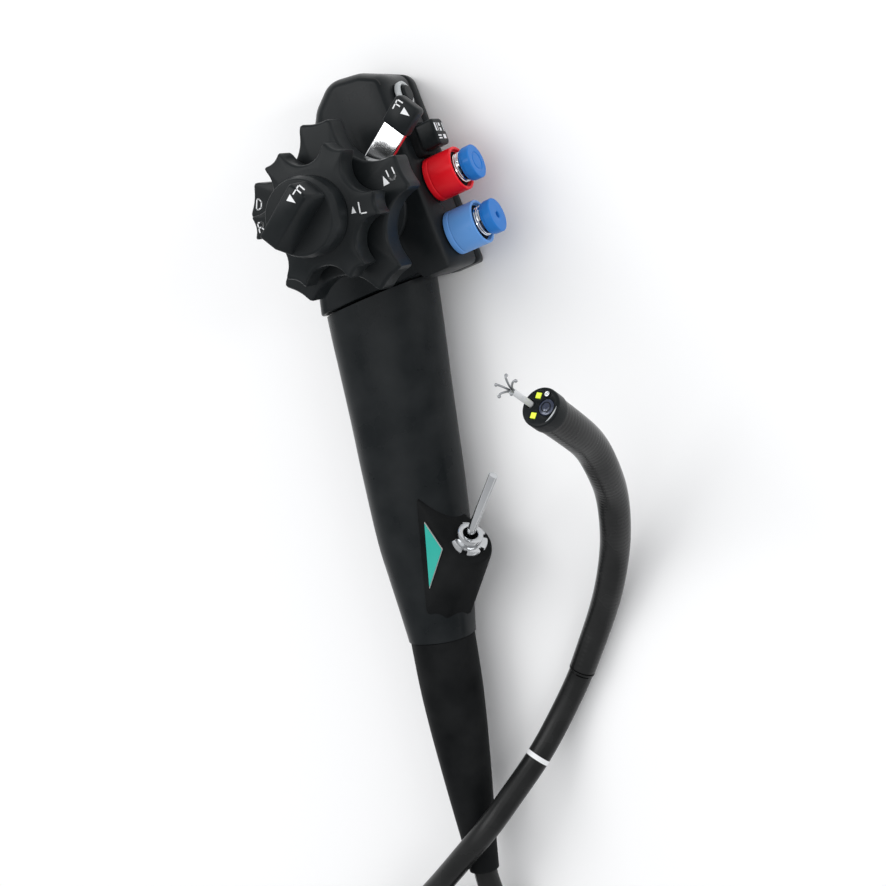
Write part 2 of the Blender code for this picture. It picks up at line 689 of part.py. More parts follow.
def grip_mid(y):
    """The grip's axis drifts a little towards the valves' far side as it runs down."""
    return -7.7 + (y - HEAD_FOOT) * 0.009


def superellipse(wide, deep, sides, power=2.25):
    """Points between an ellipse and a box with rounded corners."""
    points = []
    for i in range(sides):
        a = 2 * pi * i / sides
        x = copysign(wide * abs(cos(a)) ** (2 / power), cos(a))
        y = copysign(deep * abs(sin(a)) ** (2 / power), sin(a))
        points.append(Vector((x, y)))
    return points


def oval(y, wide, deep, sides=24, lean=0.0, power=2.25):
    """A ring across the grip, which leans with the head at the grip's top."""
    mid = grip_mid(y)
    return [Vector((mid + p.x, y + p.x * tan(radians(lean)), GRIP_Z + p.y))
            for p in superellipse(wide, deep, sides, power)]


def grip_rings(less=0.0):
    leans = (HEAD_TURN, 8.0, 4.0)
    rings = []
    for i, (y, wide, deep) in enumerate(GRIP_STATIONS):
        lean = leans[i] if i < len(leans) else 0.0
        rings.append(oval(y, wide - less, deep - less, lean=lean))
    return rings


def leaf_points():
    """The corners of the boss that carries the port: its round facet, leaf tip and lower edge."""
    facet = frame_along(PORT_FOOT, PORT_AXIS)
    points = [facet @ p for p in circle(FACET_R, 0.0, 20)]
    points += [facet @ p for p in circle(FACET_R + 0.6, -2.5, 20)]
    return points + [Vector(corner) for corner in (LEAF_TIP, LEAF_FOOT) + BOSS_CORNERS]


def grip_shell():
    made = add("grip_shell", skin(grip_rings()), "black")
    boss = bmesh.new()
    for point in leaf_points():
        boss.verts.new(point)
    bmesh.ops.convex_hull(boss, input=boss.verts)
    loose = [vert for vert in boss.verts if not vert.link_faces]
    bmesh.ops.delete(boss, geom=loose, context="VERTS")
    weld(made, tool("port_boss", boss))
    hollow = grip_rings(GRIP_WALL)[::2]
    top = [p + Vector((0, 12.0, 0)) for p in hollow[0]]
    foot = [p + Vector((0, -12.0, 0)) for p in hollow[-1]]
    cut(made, tool("grip_hollow", skin([top] + hollow + [foot])))
    port = frame_along(PORT_FOOT, PORT_AXIS)
    cut(made, tool("port_bore", rod(PORT_STEM_R + GAP, -PORT_DEPTH - 2.0, 4.0, 20), port))
    cut(made, tool("port_seat", rod(PORT_FLANGE_R + 1.2, 0.0, 14.0, 28), port))


def boot():
    sleeve = []
    for y, wide, deep in BOOT_STATIONS:
        sleeve.append(oval(y, wide, deep, power=2.0))
    bore = TUBE_R + GAP
    inner = [oval(y, bore, bore, power=2.0) for y in (BOOT_END, -206.0, BOOT_STATIONS[0][0])]
    add("bend_boot", skin(sleeve + inner, close=True), "rubber")


def bent_pipe(points, outer, inner, sides=10):
    """A pipe along points, whose rings stand across the mean of the two runs that meet there."""
    rings = []
    steps = [(b - a).normalized() for a, b in zip(points, points[1:])]
    for i, point in enumerate(points):
        along = (steps[max(i - 1, 0)] + steps[min(i, len(steps) - 1)]).normalized()
        frame = frame_along(point, along, (1, 0, 0.01))
        rings.append([[frame @ p for p in circle(r, 0.0, sides)] for r in (outer, inner)])
    return skin([r[0] for r in rings] + [r[1] for r in reversed(rings)], close=True)


def port():
    place = frame_along(PORT_FOOT, PORT_AXIS)
    flange = []
    for k in range(PORT_LOBES):
        for part, radius in ((0.10, PORT_FLANGE_R), (0.42, PORT_FLANGE_R), (0.74, PORT_FLANGE_R),
                             (0.92, PORT_FLANGE_R - 1.5)):
            a = 2 * pi * (k + part) / PORT_LOBES
            flange.append(Vector((cos(a), sin(a))) * radius)
    ring_top = PORT_FLANGE_H + PORT_RING_H

    def level(radius, z):
        return ring_at([p.normalized() * radius for p in flange], z)
    rings = [ring_at(flange, GAP), ring_at(flange, PORT_FLANGE_H), level(PORT_RING_R, PORT_FLANGE_H),
             level(PORT_RING_R, ring_top), level(PORT_BORE, ring_top), level(PORT_BORE, -PORT_MOUTH),
             level(ROD_R + GAP, -PORT_MOUTH - 1.0), level(ROD_R + GAP, -PORT_DEPTH),
             level(PORT_STEM_R, -PORT_DEPTH), level(PORT_STEM_R, GAP)]
    add("channel_port", skin(rings, close=True), "chrome", place)
    add("forceps_shaft", rod(ROD_R, -ROD_IN, ROD_OUT, 14), "steel", place)
    foot = place @ Vector((0, 0, -PORT_DEPTH - GAP))
    down = -Vector(PORT_AXIS)
    mid = grip_mid(GRIP_END) + 1.6
    route = [foot, foot + down * 4.0, Vector((mid - 0.3, GRIP_END + 12.0, GRIP_Z - 2.0)),
             Vector((mid, GRIP_END + 5.0, GRIP_Z)), Vector((mid, GRIP_END + GAP, GRIP_Z))]
    add("working_channel", bent_pipe(route, CHANNEL_TUBE_R, CHANNEL_TUBE_R - 0.8), "clear_tube")
    label_plate()


def label_plate():
    """The bare coloured label on the side of the boss."""
    tip = Vector(LEAF_TIP)
    foot = Vector(LEAF_FOOT)
    rim = tip.copy()
    for point in leaf_points()[:20]:
        if rim == tip or (foot - tip).cross(rim - tip).dot(point - tip) > 0:
            rim = point
    normal = (foot - tip).cross(rim - tip).normalized()
    corners = [tip + (rim - tip) * a + (foot - tip) * b for a, b in LABEL_CORNERS]
    low = [c + normal * GAP for c in corners]
    high = [c + normal * (GAP + 0.5) for c in corners]
    add("port_label", skin([low, high]), "teal")


def wires():
    """The four sheathed wires, from their pulleys down through the grip to the insertion tube."""
    reach = PULLEY_R + WIRE_R + 1.0
    end = grip_mid(GRIP_END)
    ways = (("up_wire", -reach, UD_PULLEY_Z, -3.0, 2.4), ("down_wire", reach, UD_PULLEY_Z, -0.4, 3.7),
            ("left_wire", -reach, RL_PULLEY_Z, -3.0, -2.4), ("right_wire", reach, RL_PULLEY_Z, -0.4, -3.7))
    for name, side, pulley_z, end_x, end_z in ways:
        z = pulley_z + PULLEY_H / 2
        foot_x = max(side, STEER_LEFT) if side < 0 else STEER_RIGHT
        apart = end - 4.4 + copysign(1.8, side)
        route = [(side, 0, z), (side, -2.0, z), (foot_x, -27.0, z), (foot_x, STEER_Y, z),
                 (apart, GRIP_END + 44.0, z), (apart, GRIP_END + 12.0, GRIP_Z + end_z * 1.1),
                 (end + end_x, GRIP_END + 4.0, GRIP_Z + end_z), (end + end_x, GRIP_END + GAP, GRIP_Z + end_z)]
        add(name, bent_rod([Vector(p) for p in route], WIRE_R), "steel")


def bent_rod(points, radius, sides=8):
    """A rod along points, whose rings stand across the mean of the two runs that meet there."""
    rings = []
    steps = [(b - a).normalized() for a, b in zip(points, points[1:])]
    for i, point in enumerate(points):
        along = (steps[max(i - 1, 0)] + steps[min(i, len(steps) - 1)]).normalized()
        frame = frame_along(point, along, (0, 0, 1))
        rings.append([frame @ p for p in circle(radius, 0.0, sides)])
    return skin(rings)


# Bending section and tip

def hinge_angles():
    """The bend of each hinge at rest: up and down first, then left and right, in turn."""
    half = BEND_HINGES // 2
    return [BEND_UD / half if i % 2 == 0 else BEND_RL / half for i in range(BEND_HINGES)]


def bend_frames():
    """The frame of the mount, of each link at its hinge, and of the tip at the last hinge.

    The second list holds each hinge's half-way frame, which halves its bend.
    """
    frame = shift(*BEND_START) @ turn_z(BEND_HEADING)
    frames = [frame]
    halves = []
    step = BEND_LEAD
    for i, angle in enumerate(hinge_angles()):
        half = Matrix.Rotation(radians(angle / 2), 4, (0, -1, 0) if i % 2 == 0 else (0, 0, 1))
        halves.append(frame @ shift(step, 0, 0) @ half)
        frame = halves[-1] @ half
        frames.append(frame)
        step = BEND_PITCH
    return frames, halves


def along_x(mesh):
    """Turn a mesh made about Z so that it runs along X."""
    return moved(mesh, Matrix.Rotation(radians(90), 4, "Y"))


def cover_radius(s):
    """The outside radius of the rubber cover at s from the start of the section."""
    whole = BEND_LEAD + (BEND_HINGES - 1) * BEND_PITCH + TIP_LONG - CAP_LONG
    return COVER_R0 + (COVER_R1 - COVER_R0) * min(max(s / whole, 0.0), 1.0)


def hinge_s(i):
    return BEND_LEAD + i * BEND_PITCH


def link_radius(i):
    return cover_radius(hinge_s(i)) - COVER_WALL - GAP


def lug_turn(i):
    """Turns a lug made for an axis along Y to the axis of hinge i."""
    return Matrix() if i % 2 == 0 else Matrix.Rotation(radians(90), 4, "X")


def eye(at_x, reach, y0, y1, hole):
    """A flat lug with an eye at at_x, normal to Y, whose root reaches to at_x + reach."""
    sign = 1 if reach > 0 else -1
    outline = []
    for k in range(4):
        a = pi / 2 + pi * k / 3
        outline.append((at_x + sign * LUG_R * cos(a), LUG_R * sin(a)))
    outline += [(at_x + reach, -LUG_R), (at_x + reach, LUG_R)]
    if not hole:
        return skin([[Vector((x, y, z)) for x, z in outline] for y in (y0, y1)])
    inner = []
    for x, z in outline:
        a = atan2(z, x - at_x)
        inner.append((at_x + hole * cos(a), hole * sin(a)))
    return skin([[Vector((x, y, z)) for x, z in line] for line, y in
                 ((outline, y0), (outline, y1), (inner, y1), (inner, y0))], close=True)


def inner_lugs(i, radius):
    """The pair of lugs that carries a link's start on hinge i."""
    lugs = []
    for side in (-1, 1):
        y0 = side * (radius - LINK_WALL - 0.4)
        y1 = y0 + side * LUG_THICK
        lugs.append(moved(eye(0.0, LINK_FACE + 1.0, y0, y1, PIN_R + GAP), lug_turn(i)))
    return lugs


def outer_lugs(i, at_x, radius):
    """The pair of lugs at a link's far end, with the pins of hinge i."""
    lugs = []
    for side in (-1, 1):
        y0 = side * (radius - LINK_WALL + LUG_THICK - 0.1)
        y1 = y0 + side * LUG_THICK
        lugs.append(moved(eye(at_x, -LINK_FACE - 1.0, y0, y1, 0), lug_turn(i)))
        pin = frame_along((at_x, y0 + side * 0.3, 0), (0, -side, 0), (1, 0, 0))
        lugs.append(moved(rod(PIN_R, 0.0, LUG_THICK + 0.7, 6), lug_turn(i) @ pin))
    return lugs


def link(i, place):
    """Link i, from hinge i to the next one, with its own pins at the far end."""
    radius = link_radius(i)
    name = f"vertebra_{i + 1:02d}"
    body = along_x(pipe(radius, radius - LINK_WALL, LINK_FACE, BEND_PITCH - LINK_FACE, LINK_SIDES))
    made = add(name, body, "steel", place)
    parts = inner_lugs(i, radius) + outer_lugs(i + 1, BEND_PITCH, radius)
    weld(made, *[tool(f"{name}_lug_{k}", part, place) for k, part in enumerate(parts)])


def bend_mount(place):
    radius = link_radius(0)
    body = along_x(pipe(radius, radius - LINK_WALL, GAP, BEND_LEAD - LINK_FACE, LINK_SIDES))
    made = add("bend_mount", body, "steel", place)
    parts = outer_lugs(0, BEND_LEAD, radius)
    weld(made, *[tool(f"mount_lug_{k}", part, place) for k, part in enumerate(parts)])


def bend_cover(frames, halves):
    """The rubber skin over the links, from the insertion tube to the tip's cap."""
    start = GAP
    stations = [(frames[0], start, start), (frames[0], BEND_LEAD / 2, BEND_LEAD / 2)]
    for i, half in enumerate(halves):
        stations.append((half, 0.0, hinge_s(i)))
        if i < BEND_HINGES - 1:
            stations.append((frames[i + 1], BEND_PITCH / 2, hinge_s(i) + BEND_PITCH / 2))
    end = TIP_LONG - CAP_LONG - GAP
    stations.append((frames[-1], end, hinge_s(BEND_HINGES - 1) + end))
    outer = [across(frame, x, cover_radius(s)) for frame, x, s in stations]
    inner = [across(frame, x, cover_radius(s) - COVER_WALL) for frame, x, s in stations]
    add("bend_cover", skin(outer + inner[::-1], close=True), "rubber")


def across(frame, x, radius):
    """A ring across a link's X axis."""
    return [frame @ Vector((x, p.x, p.y)) for p in circle(radius, 0.0, LINK_SIDES)]


def tip(place):
    """The rigid tip: the steel body in the cover, the black cap, and what looks out of it."""
    radius = link_radius(BEND_HINGES - 1)
    seam = TIP_LONG - CAP_LONG
    body = add("distal_body", along_x(rod(radius, LINK_FACE, seam, LINK_SIDES)), "steel", place)
    lugs = inner_lugs(BEND_HINGES - 1, radius)
    weld(body, *[tool(f"tip_lug_{k}", part, place) for k, part in enumerate(lugs)])
    face = place @ shift(TIP_LONG, 0, 0)
    channel = tip_rod(CHANNEL_R, CHANNEL_AT, -30.0, 2.0, 14)
    cut(body, tool("body_bores", join(channel, tip_rod(1.6, LENS_AT, -30.0, -3.0, 10)), face))
    shell = lathe(((TIP_R, -CAP_LONG + GAP), (TIP_R, -0.7), (TIP_R - 0.7, 0.0)), 28)
    cap = add("distal_cap", along_x(shell), "black", face)
    pockets = [tip_rod(CHANNEL_R, CHANNEL_AT, -10.0, 2.0, 14), tip_rod(LENS_R, LENS_AT, -3.0, 2.0, 20),
               tip_rod(NOZZLE_R + GAP, NOZZLE_AT, -3.0, 2.0, 10)]
    half = LED_SIDE / 2 + GAP
    for y, z in LED_AT:
        pockets.append(box((-1.6, y - half, z - half), (2.0, y + half, z + half)))
    cut(cap, tool("cap_pockets", join(*pockets), face))
    lens = lathe(((LENS_R - GAP, -2.7), (LENS_R - GAP, -0.4), (LENS_R - 1.1, 0.0), (LENS_R - 2.1, 0.15)), 20)
    add("objective_lens", moved(along_x(lens), shift(0, *LENS_AT)), "glass", face)
    half = LED_SIDE / 2
    for i, (y, z) in enumerate(LED_AT):
        add(f"led_window_{i + 1}", box((-1.3, y - half, z - half), (0.1, y + half, z + half)), "lamp", face)
    nozzle = lathe(((NOZZLE_R, -2.7), (NOZZLE_R, 0.5), (NOZZLE_R - 0.3, 0.8)), 10)
    add("air_water_nozzle", moved(along_x(nozzle), shift(0, *NOZZLE_AT)), "chrome", face)
    forceps(face)


def tip_rod(radius, at, x0, x1, sides):
    return moved(along_x(rod(radius, x0, x1, sides)), shift(0, *at))


def forceps(face):
    """The end of the grasping forceps: a rod out of the channel and its hooked wire prongs."""
    rod_mesh = along_x(rod(FORCEPS_R, -12.0, FORCEPS_OUT, 12))
    made = add("forceps_tip", moved(rod_mesh, shift(0, *CHANNEL_AT)), "steel", face)
    prongs = []
    for k in range(PRONGS):
        spin = Matrix.Rotation(2 * pi * k / PRONGS, 4, "X")
        points = [spin @ Vector((FORCEPS_OUT + x, y, 0)) for x, y in PRONG_LINE]
        prongs.append(moved(wire(points, PRONG_R), shift(0, *CHANNEL_AT)))
    weld(made, *[tool(f"prong_{k}", prong, face) for k, prong in enumerate(prongs)])


def wire(points, radius, sides=5):
    """A round wire along points in one plane through the X axis."""
    rings = []
    steps = [(b - a).normalized() for a, b in zip(points, points[1:])]
    across_dir = points[0].cross(points[-1]).normalized()
    for i, point in enumerate(points):
        along = (steps[max(i - 1, 0)] + steps[min(i, len(steps) - 1)]).normalized()
        frame = frame_along(point, along, across_dir)
        rings.append([frame @ p for p in circle(radius, 0.0, sides)])
    return skin(rings)


# Insertion tube on the table

def smooth_points(points, per_step=4):
    """Points on a smooth curve through the given ones."""
    given = [Vector(p) for p in points]
    ends = [given[0] * 2 - given[1]] + given + [given[-1] * 2 - given[-2]]
    out = []
    for a, b, c, d in zip(ends, ends[1:], ends[2:], ends[3:]):
        for k in range(per_step):
            t = k / per_step
            out.append(0.5 * (2 * b + (c - a) * t + (2 * a - 5 * b + 4 * c - d) * t ** 2
                              + (3 * b - a - 3 * c + d) * t ** 3))
    return out + [given[-1]]


def tube_curve(name, points, finish="rubber"):
    data = bpy.data.curves.new(name, "CURVE")
    data.dimensions = "3D"
    data.bevel_depth = TUBE_R * MM
    data.bevel_resolution = 2
    data.use_fill_caps = True
    line = data.splines.new("POLY")
    line.points.add(len(points) - 1)
    for spot, point in zip(line.points, points):
        spot.co = (*(point * MM), 1.0)
    data.materials.append(material(name, *FINISHES[finish]))
    made = bpy.data.objects.new(name, data)
    bpy.context.scene.collection.objects.link(made)


def insertion_tube():
    """The tube from inside the boot, its stored coil of two and a half turns, and its way back."""
    inside = [(grip_mid(y), y, GRIP_Z) for y in (GRIP_END, -183.0, -206.0, -229.0)]
    tube_curve("insertion_tube_out", smooth_points(inside + list(LEAD_OUT), 3))
    tube_curve("insertion_tube_back", smooth_points(LEAD_BACK, 2))
    pitch = 2 * TUBE_R + GAP
    section = ((COIL_R - pitch, 0.2), (COIL_R - pitch, pitch), (COIL_R - pitch / 2, pitch * 1.9),
               (COIL_R + pitch / 2, pitch * 1.9), (COIL_R + pitch, pitch), (COIL_R + pitch, 0.2))
    add("insertion_tube_coil", moved(lathe(section, 24, close=True), shift(*COIL_MID, 0.0)), "rubber")


def build():
    for old in list(bpy.data.objects):
        bpy.data.objects.remove(old)
    main_housing()
    back_cover()
    cover_screws()
    cord_gland()
    housing_gasket()
    chassis()
    spindle_and_bush()
    shafts()
    knobs()
    lock_knob()
    lock_lever()
    valve("suction", SUCTION_H, "red")
    valve("air_water", AIR_H, "pale_blue")
    switches()
    grip_shell()
    boot()
    port()
    wires()
    frames, halves = bend_frames()
    bend_mount(frames[0])
    for i in range(BEND_HINGES - 1):
        link(i, frames[i + 1])
    bend_cover(frames, halves)
    tip(frames[-1])
    insertion_tube()


build()
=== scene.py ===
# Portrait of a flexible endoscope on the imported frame: camera, tube, fine shapes, finishes and light.
# Shapes are given in millimetres in the frame's axes; MM turns them into metres.

import json
import bpy
import bmesh
from math import atan2, ceil, copysign, cos, pi, radians, sin, sqrt, tan
from mathutils import Matrix, Vector


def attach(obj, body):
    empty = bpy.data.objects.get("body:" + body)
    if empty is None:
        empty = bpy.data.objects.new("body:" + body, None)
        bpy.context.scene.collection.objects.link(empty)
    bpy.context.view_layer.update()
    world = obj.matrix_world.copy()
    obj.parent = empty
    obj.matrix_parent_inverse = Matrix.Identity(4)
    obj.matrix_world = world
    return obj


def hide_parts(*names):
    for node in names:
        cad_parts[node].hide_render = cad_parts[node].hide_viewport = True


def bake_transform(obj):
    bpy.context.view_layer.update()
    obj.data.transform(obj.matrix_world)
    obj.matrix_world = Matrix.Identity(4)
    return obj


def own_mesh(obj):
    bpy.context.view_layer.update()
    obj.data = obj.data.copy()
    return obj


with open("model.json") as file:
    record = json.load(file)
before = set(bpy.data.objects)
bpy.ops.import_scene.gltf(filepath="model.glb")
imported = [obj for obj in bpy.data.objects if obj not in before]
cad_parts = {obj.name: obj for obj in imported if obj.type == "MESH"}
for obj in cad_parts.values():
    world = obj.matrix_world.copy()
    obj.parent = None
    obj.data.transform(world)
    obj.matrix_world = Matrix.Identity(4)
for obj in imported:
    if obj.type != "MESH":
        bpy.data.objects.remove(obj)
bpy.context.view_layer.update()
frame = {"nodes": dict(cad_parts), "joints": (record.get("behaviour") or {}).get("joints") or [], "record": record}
MM = 0.001

# Sizes, mostly shared with the frame's nodes
HEAD_TURN = 12.0
HEAD_DEPTH = 30.0
BACK_DEPTH = 7.0
SEAM = 1.6
VALVE_FACE = 23.4
HEAD_FOOT = -28.6
LEDGE = -31.0
HEAD_CORNERS = ((VALVE_FACE, LEDGE, 2.5), (VALVE_FACE, 40.5, 5.0), (14.0, 45.2, 9.0), (1.8, 47.2, 10.0),
                (-6.8, 40.3, 12.0), (-24.0, 12.0, 25.0), (-35.8, HEAD_FOOT, 1.0), (9.7, HEAD_FOOT, 1.0),
                (11.0, LEDGE, 1.0))
HEAD_FOOT_EDGE = 6
HEAD_EASE = 8.0
HEAD_DOME = (6.4, 2.4, 0.9)         # set in on the far side, the valve side and the foot
BACK_EASE = 4.5
BACK_DOME = (5.0, 2.2)
BRAKE_R = 16.5
BRAKE_TOP = 42.0
BUSH_R = 9.4
LEVER_Z = 42.6
LEVER_THICK = 2.4
LEVER_TURN = 33.0
LEVER_HUB_R = 13.6
LEVER_W = 8.8
LEVER_R = 34.0
TAB_LONG = 10.6
TAB_W = 10.0
TAB_H = 6.0
UD_WHEEL_Z = 46.5
UD_WHEEL_H = 10.0
UD_WHEEL_R = 32.2
UD_LOBE_HALF = 11.3
RL_WHEEL_Z = 59.0
RL_WHEEL_H = 9.0
RL_WHEEL_R = 25.0
RL_LOBE_HALF = 9.6
RL_HUB_R = 14.5
LOCK_R = 13.6
LOCK_Z = 69.0
LOCK_H = 9.3
BAR_H = 11.7
BAR_W = 9.0
BAR_TURN = 33.0
VALVE_Z = 19.0
SUCTION_H = 0.6
AIR_H = -19.4
VALVE_R = 6.2
VALVE_TOP = 33.8
COLLAR_R = 8.0
COLLAR_END = 35.3
CAP_R = 6.15
CAP_FOOT = 37.4
CAP_H = 4.2
SPRING_R = 5.0
SPRING_WIRE = 0.45
SPRING_TURNS = 2.5
ROUND_H = 32.3
ROUND_R = 4.3
ROUND_OUT = 3.2
BOX_H = 15.4
BOX_LONG = 9.6
BOX_TALL = 8.6
BOX_OUT = 9.2
BEZEL = 1.5
BEZEL_OUT = 2.6
SWITCH_BARS = ((-3.0, 1.6, 1.0, 3.0), (-1.4, 1.6, 0.4, 3.0), (0.4, 2.4, 1.2, 1.2), (0.4, 0.6, 1.2, 1.2),
               (2.9, 1.4, 0.5, 3.2), (-2.0, -1.6, 2.6, 0.5), (-2.0, -2.6, 2.6, 0.5), (1.6, -2.1, 2.0, 1.6))
GAP = 0.3
GRIP_Z = 15.6
GRIP_END = -160.0
GRIP_STATIONS = ((-31.3, 22.1, 15.0), (-42.0, 21.7, 15.1), (-53.0, 21.1, 15.2), (-74.0, 20.0, 15.3),
                 (-97.0, 19.1, 15.3), (-121.0, 17.7, 15.0), (-135.0, 15.8, 14.3), (-149.0, 13.8, 13.2),
                 (GRIP_END, 12.4, 12.2))
GRIP_LEANS = (12.0, 8.0, 4.0)
GRIP_POWER = 2.25
OVAL_SIDES = 96
GRIP_MID = -7.7
GRIP_DRIFT = 0.009
BOOT_STATIONS = ((-160.3, 12.2, 12.1), (-178.0, 11.9, 11.8), (-189.0, 11.3, 11.3), (-200.0, 10.5, 10.5),
                 (-220.0, 8.7, 8.7), (-240.0, 6.7, 6.7), (-252.0, 5.7, 5.7))
PORT_Y = GRIP_END + 35.9
PORT_FOOT = (12.0, PORT_Y, 23.7)
PORT_AXIS = (0.600, 0.680, 0.420)
FACET_R = 9.5
LEAF_TIP = (-1.3, PORT_Y + 19.3, 31.0)
LEAF_FOOT = (-6.8, PORT_Y - 23.4, 29.4)
BOSS_CORNERS = ((-3.0, PORT_Y - 30.9, 25.5), (5.2, PORT_Y - 27.9, 17.0), (4.0, PORT_Y + 16.1, 18.0),
                (3.0, PORT_Y + 14.1, 12.0), (3.0, PORT_Y - 21.9, 10.0))
BOSS_VOXEL = 0.45
PORT_BORE = 2.75
PORT_FLANGE_R = 7.2
PORT_FLANGE_H = 3.0
PORT_LOBES = 6
LOBE_POINTS = ((0.03, 0.15), (0.08, 0.0), (0.20, 0.0), (0.32, 0.0), (0.44, 0.0), (0.56, 0.0), (0.68, 0.0),
               (0.74, 0.15), (0.78, 1.35), (0.83, 1.5), (0.93, 1.5), (0.98, 1.35))    # share of a lobe, inset
PORT_RING_R = 4.9
PORT_RING_H = 2.6
LABEL_EDGE = 1.055
ROD_R = 1.6
ROD_IN = 9.0
ROD_OUT = 38.0
BEND_START = (40.4, -178.9, 5.6)
BEND_LEAD = 21.9
BEND_PITCH = 14.8
TIP_LONG = 21.1
TIP_R = 6.7
CAP_LONG = 6.0
COVER_R0 = 4.85
COVER_R1 = 6.3
RIB_PITCH = 1.85
RIB = 0.03
SLEEVE_STEPS = 48
SLEEVE_RING = 0.3
SLEEVE_SIDES = 48
CHANNEL_R = 1.45
CHANNEL_AT = (4.1, -0.5)
LENS_R = 2.9
LENS_AT = (-2.1, -0.2)
LED_SIDE = 2.0
LED_AT = ((2.0, -3.6), (1.6, 3.1))
NOZZLE_R = 0.9
NOZZLE_AT = (-1.3, -4.3)
FORCEPS_R = 1.05
FORCEPS_OUT = 11.0
PRONGS = 5
PRONG_R = 0.36
CLAW_R = 0.6
PRONG_LINE = ((-1.5, 0.45), (1.2, 0.8), (3.0, 1.8), (4.2, 3.0), (3.9, 3.7))    # along the rod, out of it

# The insertion tube's route: points given one by one where it isn't coiled
TUBE_R = 4.5
COIL_MID = (-37.0, -333.0)
COIL_OUTER = 49.2
COIL_INNER = 40.0
COIL_Z = 4.65
INSIDE_Y = (-160.0, -183.0, -206.0, -229.0)
LEAD_OUT = ((-9.7, -252.3, 15.6), (-9.2, -261.0, 14.7), (-7.8, -269.5, 12.3), (-5.6, -278.0, 9.0),
            (-3.4, -286.35, 6.4))
LEAD_IN = ((2.3, -300.5, 4.95),)
LEAD_OVER = ((-63.2, -293.1, 13.8),)
LEAD_BACK = ((-51.6, -277.0, 14.8), (-39.5, -266.6, 18.4), (-27.0, -256.5, 22.5), (-10.0, -241.4, 27.6),
             (-2.7, -234.9, 28.0), (3.3, -229.2, 26.0), (11.0, -219.8, 19.5), (19.5, -210.3, 13.0),
             (28.3, -197.1, 6.9), (37.1, -184.2, 5.5), (40.25, -179.15, 5.6))
MARK_AT = (19.5, -210.3, 13.0)
EASINGS = 8


# Frames, meshes and objects

QUAD = ((-1, -1), (1, -1), (1, 1), (-1, 1))


def turn_z(degrees):
    return Matrix.Rotation(radians(degrees), 4, "Z")


def shift(x, y, z):
    return Matrix.Translation((x, y, z))


HEAD = turn_z(HEAD_TURN)


def frame_along(point, axis, side=(0, 0, 1)):
    """A frame at point whose Z runs along axis and whose Y is as near to side as it can be."""
    z = Vector(axis).normalized()
    x = Vector(side).cross(z).normalized()
    y = z.cross(x)
    made = Matrix((x, y, z)).transposed().to_4x4()
    made.translation = Vector(point)
    return made


def valve_frame(height_h):
    """A frame on the valve side: Z points out of the head, Y runs towards its top."""
    return HEAD @ frame_along((0, height_h, VALVE_Z), (1, 0, 0), (0, 1, 0))


def skin(rings, close=False, caps=True):
    """A mesh over rings of equally many points, with flat ends, open ends, or closed on itself."""
    mesh = bmesh.new()
    made = [[mesh.verts.new(point) for point in ring] for ring in rings]
    pairs = list(zip(made, made[1:]))
    if close:
        pairs.append((made[-1], made[0]))
    elif caps:
        mesh.faces.new(made[0])
        mesh.faces.new(made[-1])
    for low, high in pairs:
        count = len(low)
        for i in range(count):
            j = (i + 1) % count
            mesh.faces.new((low[i], low[j], high[j], high[i]))
    return mesh


def circle(radius, z, sides):
    turns = (2 * pi * i / sides for i in range(sides))
    return [Vector((radius * cos(a), radius * sin(a), z)) for a in turns]


def lathe(profile, sides=64, close=False):
    return skin([circle(r, z, sides) for r, z in profile], close)


def soft_profile(points, radius, steps=4, close=False):
    """The same profile with each corner rounded."""
    out = []
    last = len(points) - 1
    for i, here in enumerate(points):
        if not close and i in (0, last):
            out.append(here)
            continue
        here = Vector(here)
        back = Vector(points[i - 1]) - here
        ahead = Vector(points[(i + 1) % len(points)]) - here
        reach = min(radius, back.length * 0.45, ahead.length * 0.45)
        a = here + back.normalized() * reach
        b = here + ahead.normalized() * reach
        for k in range(steps + 1):
            t = k / steps
            p = a * (1 - t) ** 2 + here * 2 * t * (1 - t) + b * t * t
            out.append((p.x, p.y))
    return out


def ring_at(outline, z):
    return [Vector((p.x, p.y, z)) for p in outline]


def slab(outline, low, high):
    return skin([ring_at(outline, low), ring_at(outline, high)])


def join(*meshes):
    whole = bmesh.new()
    for mesh in meshes:
        part = bpy.data.meshes.new("part")
        mesh.to_mesh(part)
        mesh.free()
        whole.from_mesh(part)
        bpy.data.meshes.remove(part)
    return whole


def add_object(name, data):
    made = bpy.data.objects.new(name, data)
    bpy.context.scene.collection.objects.link(made)
    return made


def moved(mesh, place):
    mesh.transform(place)
    return mesh


def smooth_points(points, per_step):
    """Points on a smooth curve through the given ones."""
    given = [Vector(p) for p in points]
    ends = [given[0] * 2 - given[1]] + given + [given[-1] * 2 - given[-2]]
    out = []
    for a, b, c, d in zip(ends, ends[1:], ends[2:], ends[3:]):
        for k in range(per_step):
            t = k / per_step
            out.append(0.5 * (2 * b + (c - a) * t + (2 * a - 5 * b + 4 * c - d) * t ** 2
                              + (3 * b - a - 3 * c + d) * t ** 3))
    return out + [given[-1]]


def rounded(corners, steps=8):
    """The outline of a polygon whose corners, given as (x, y, radius), are rounded."""
    points = []
    for i, (x, y, radius) in enumerate(corners):
        here = Vector((x, y))
        back = Vector(corners[i - 1][:2]) - here
        ahead = Vector(corners[(i + 1) % len(corners)][:2]) - here
        half = back.angle(ahead) / 2
        reach = radius / tan(half)
        start = here + back.normalized() * reach
        end = here + ahead.normalized() * reach
        mid = here + (back.normalized() + ahead.normalized()).normalized() * radius / sin(half)
        a0 = atan2(*(start - mid).yx)
        a1 = atan2(*(end - mid).yx)
        sweep = (a1 - a0 + pi) % (2 * pi) - pi
        for k in range(steps + 1):
            a = a0 + sweep * k / steps
            points.append(mid + Vector((cos(a), sin(a))) * radius)
    return points


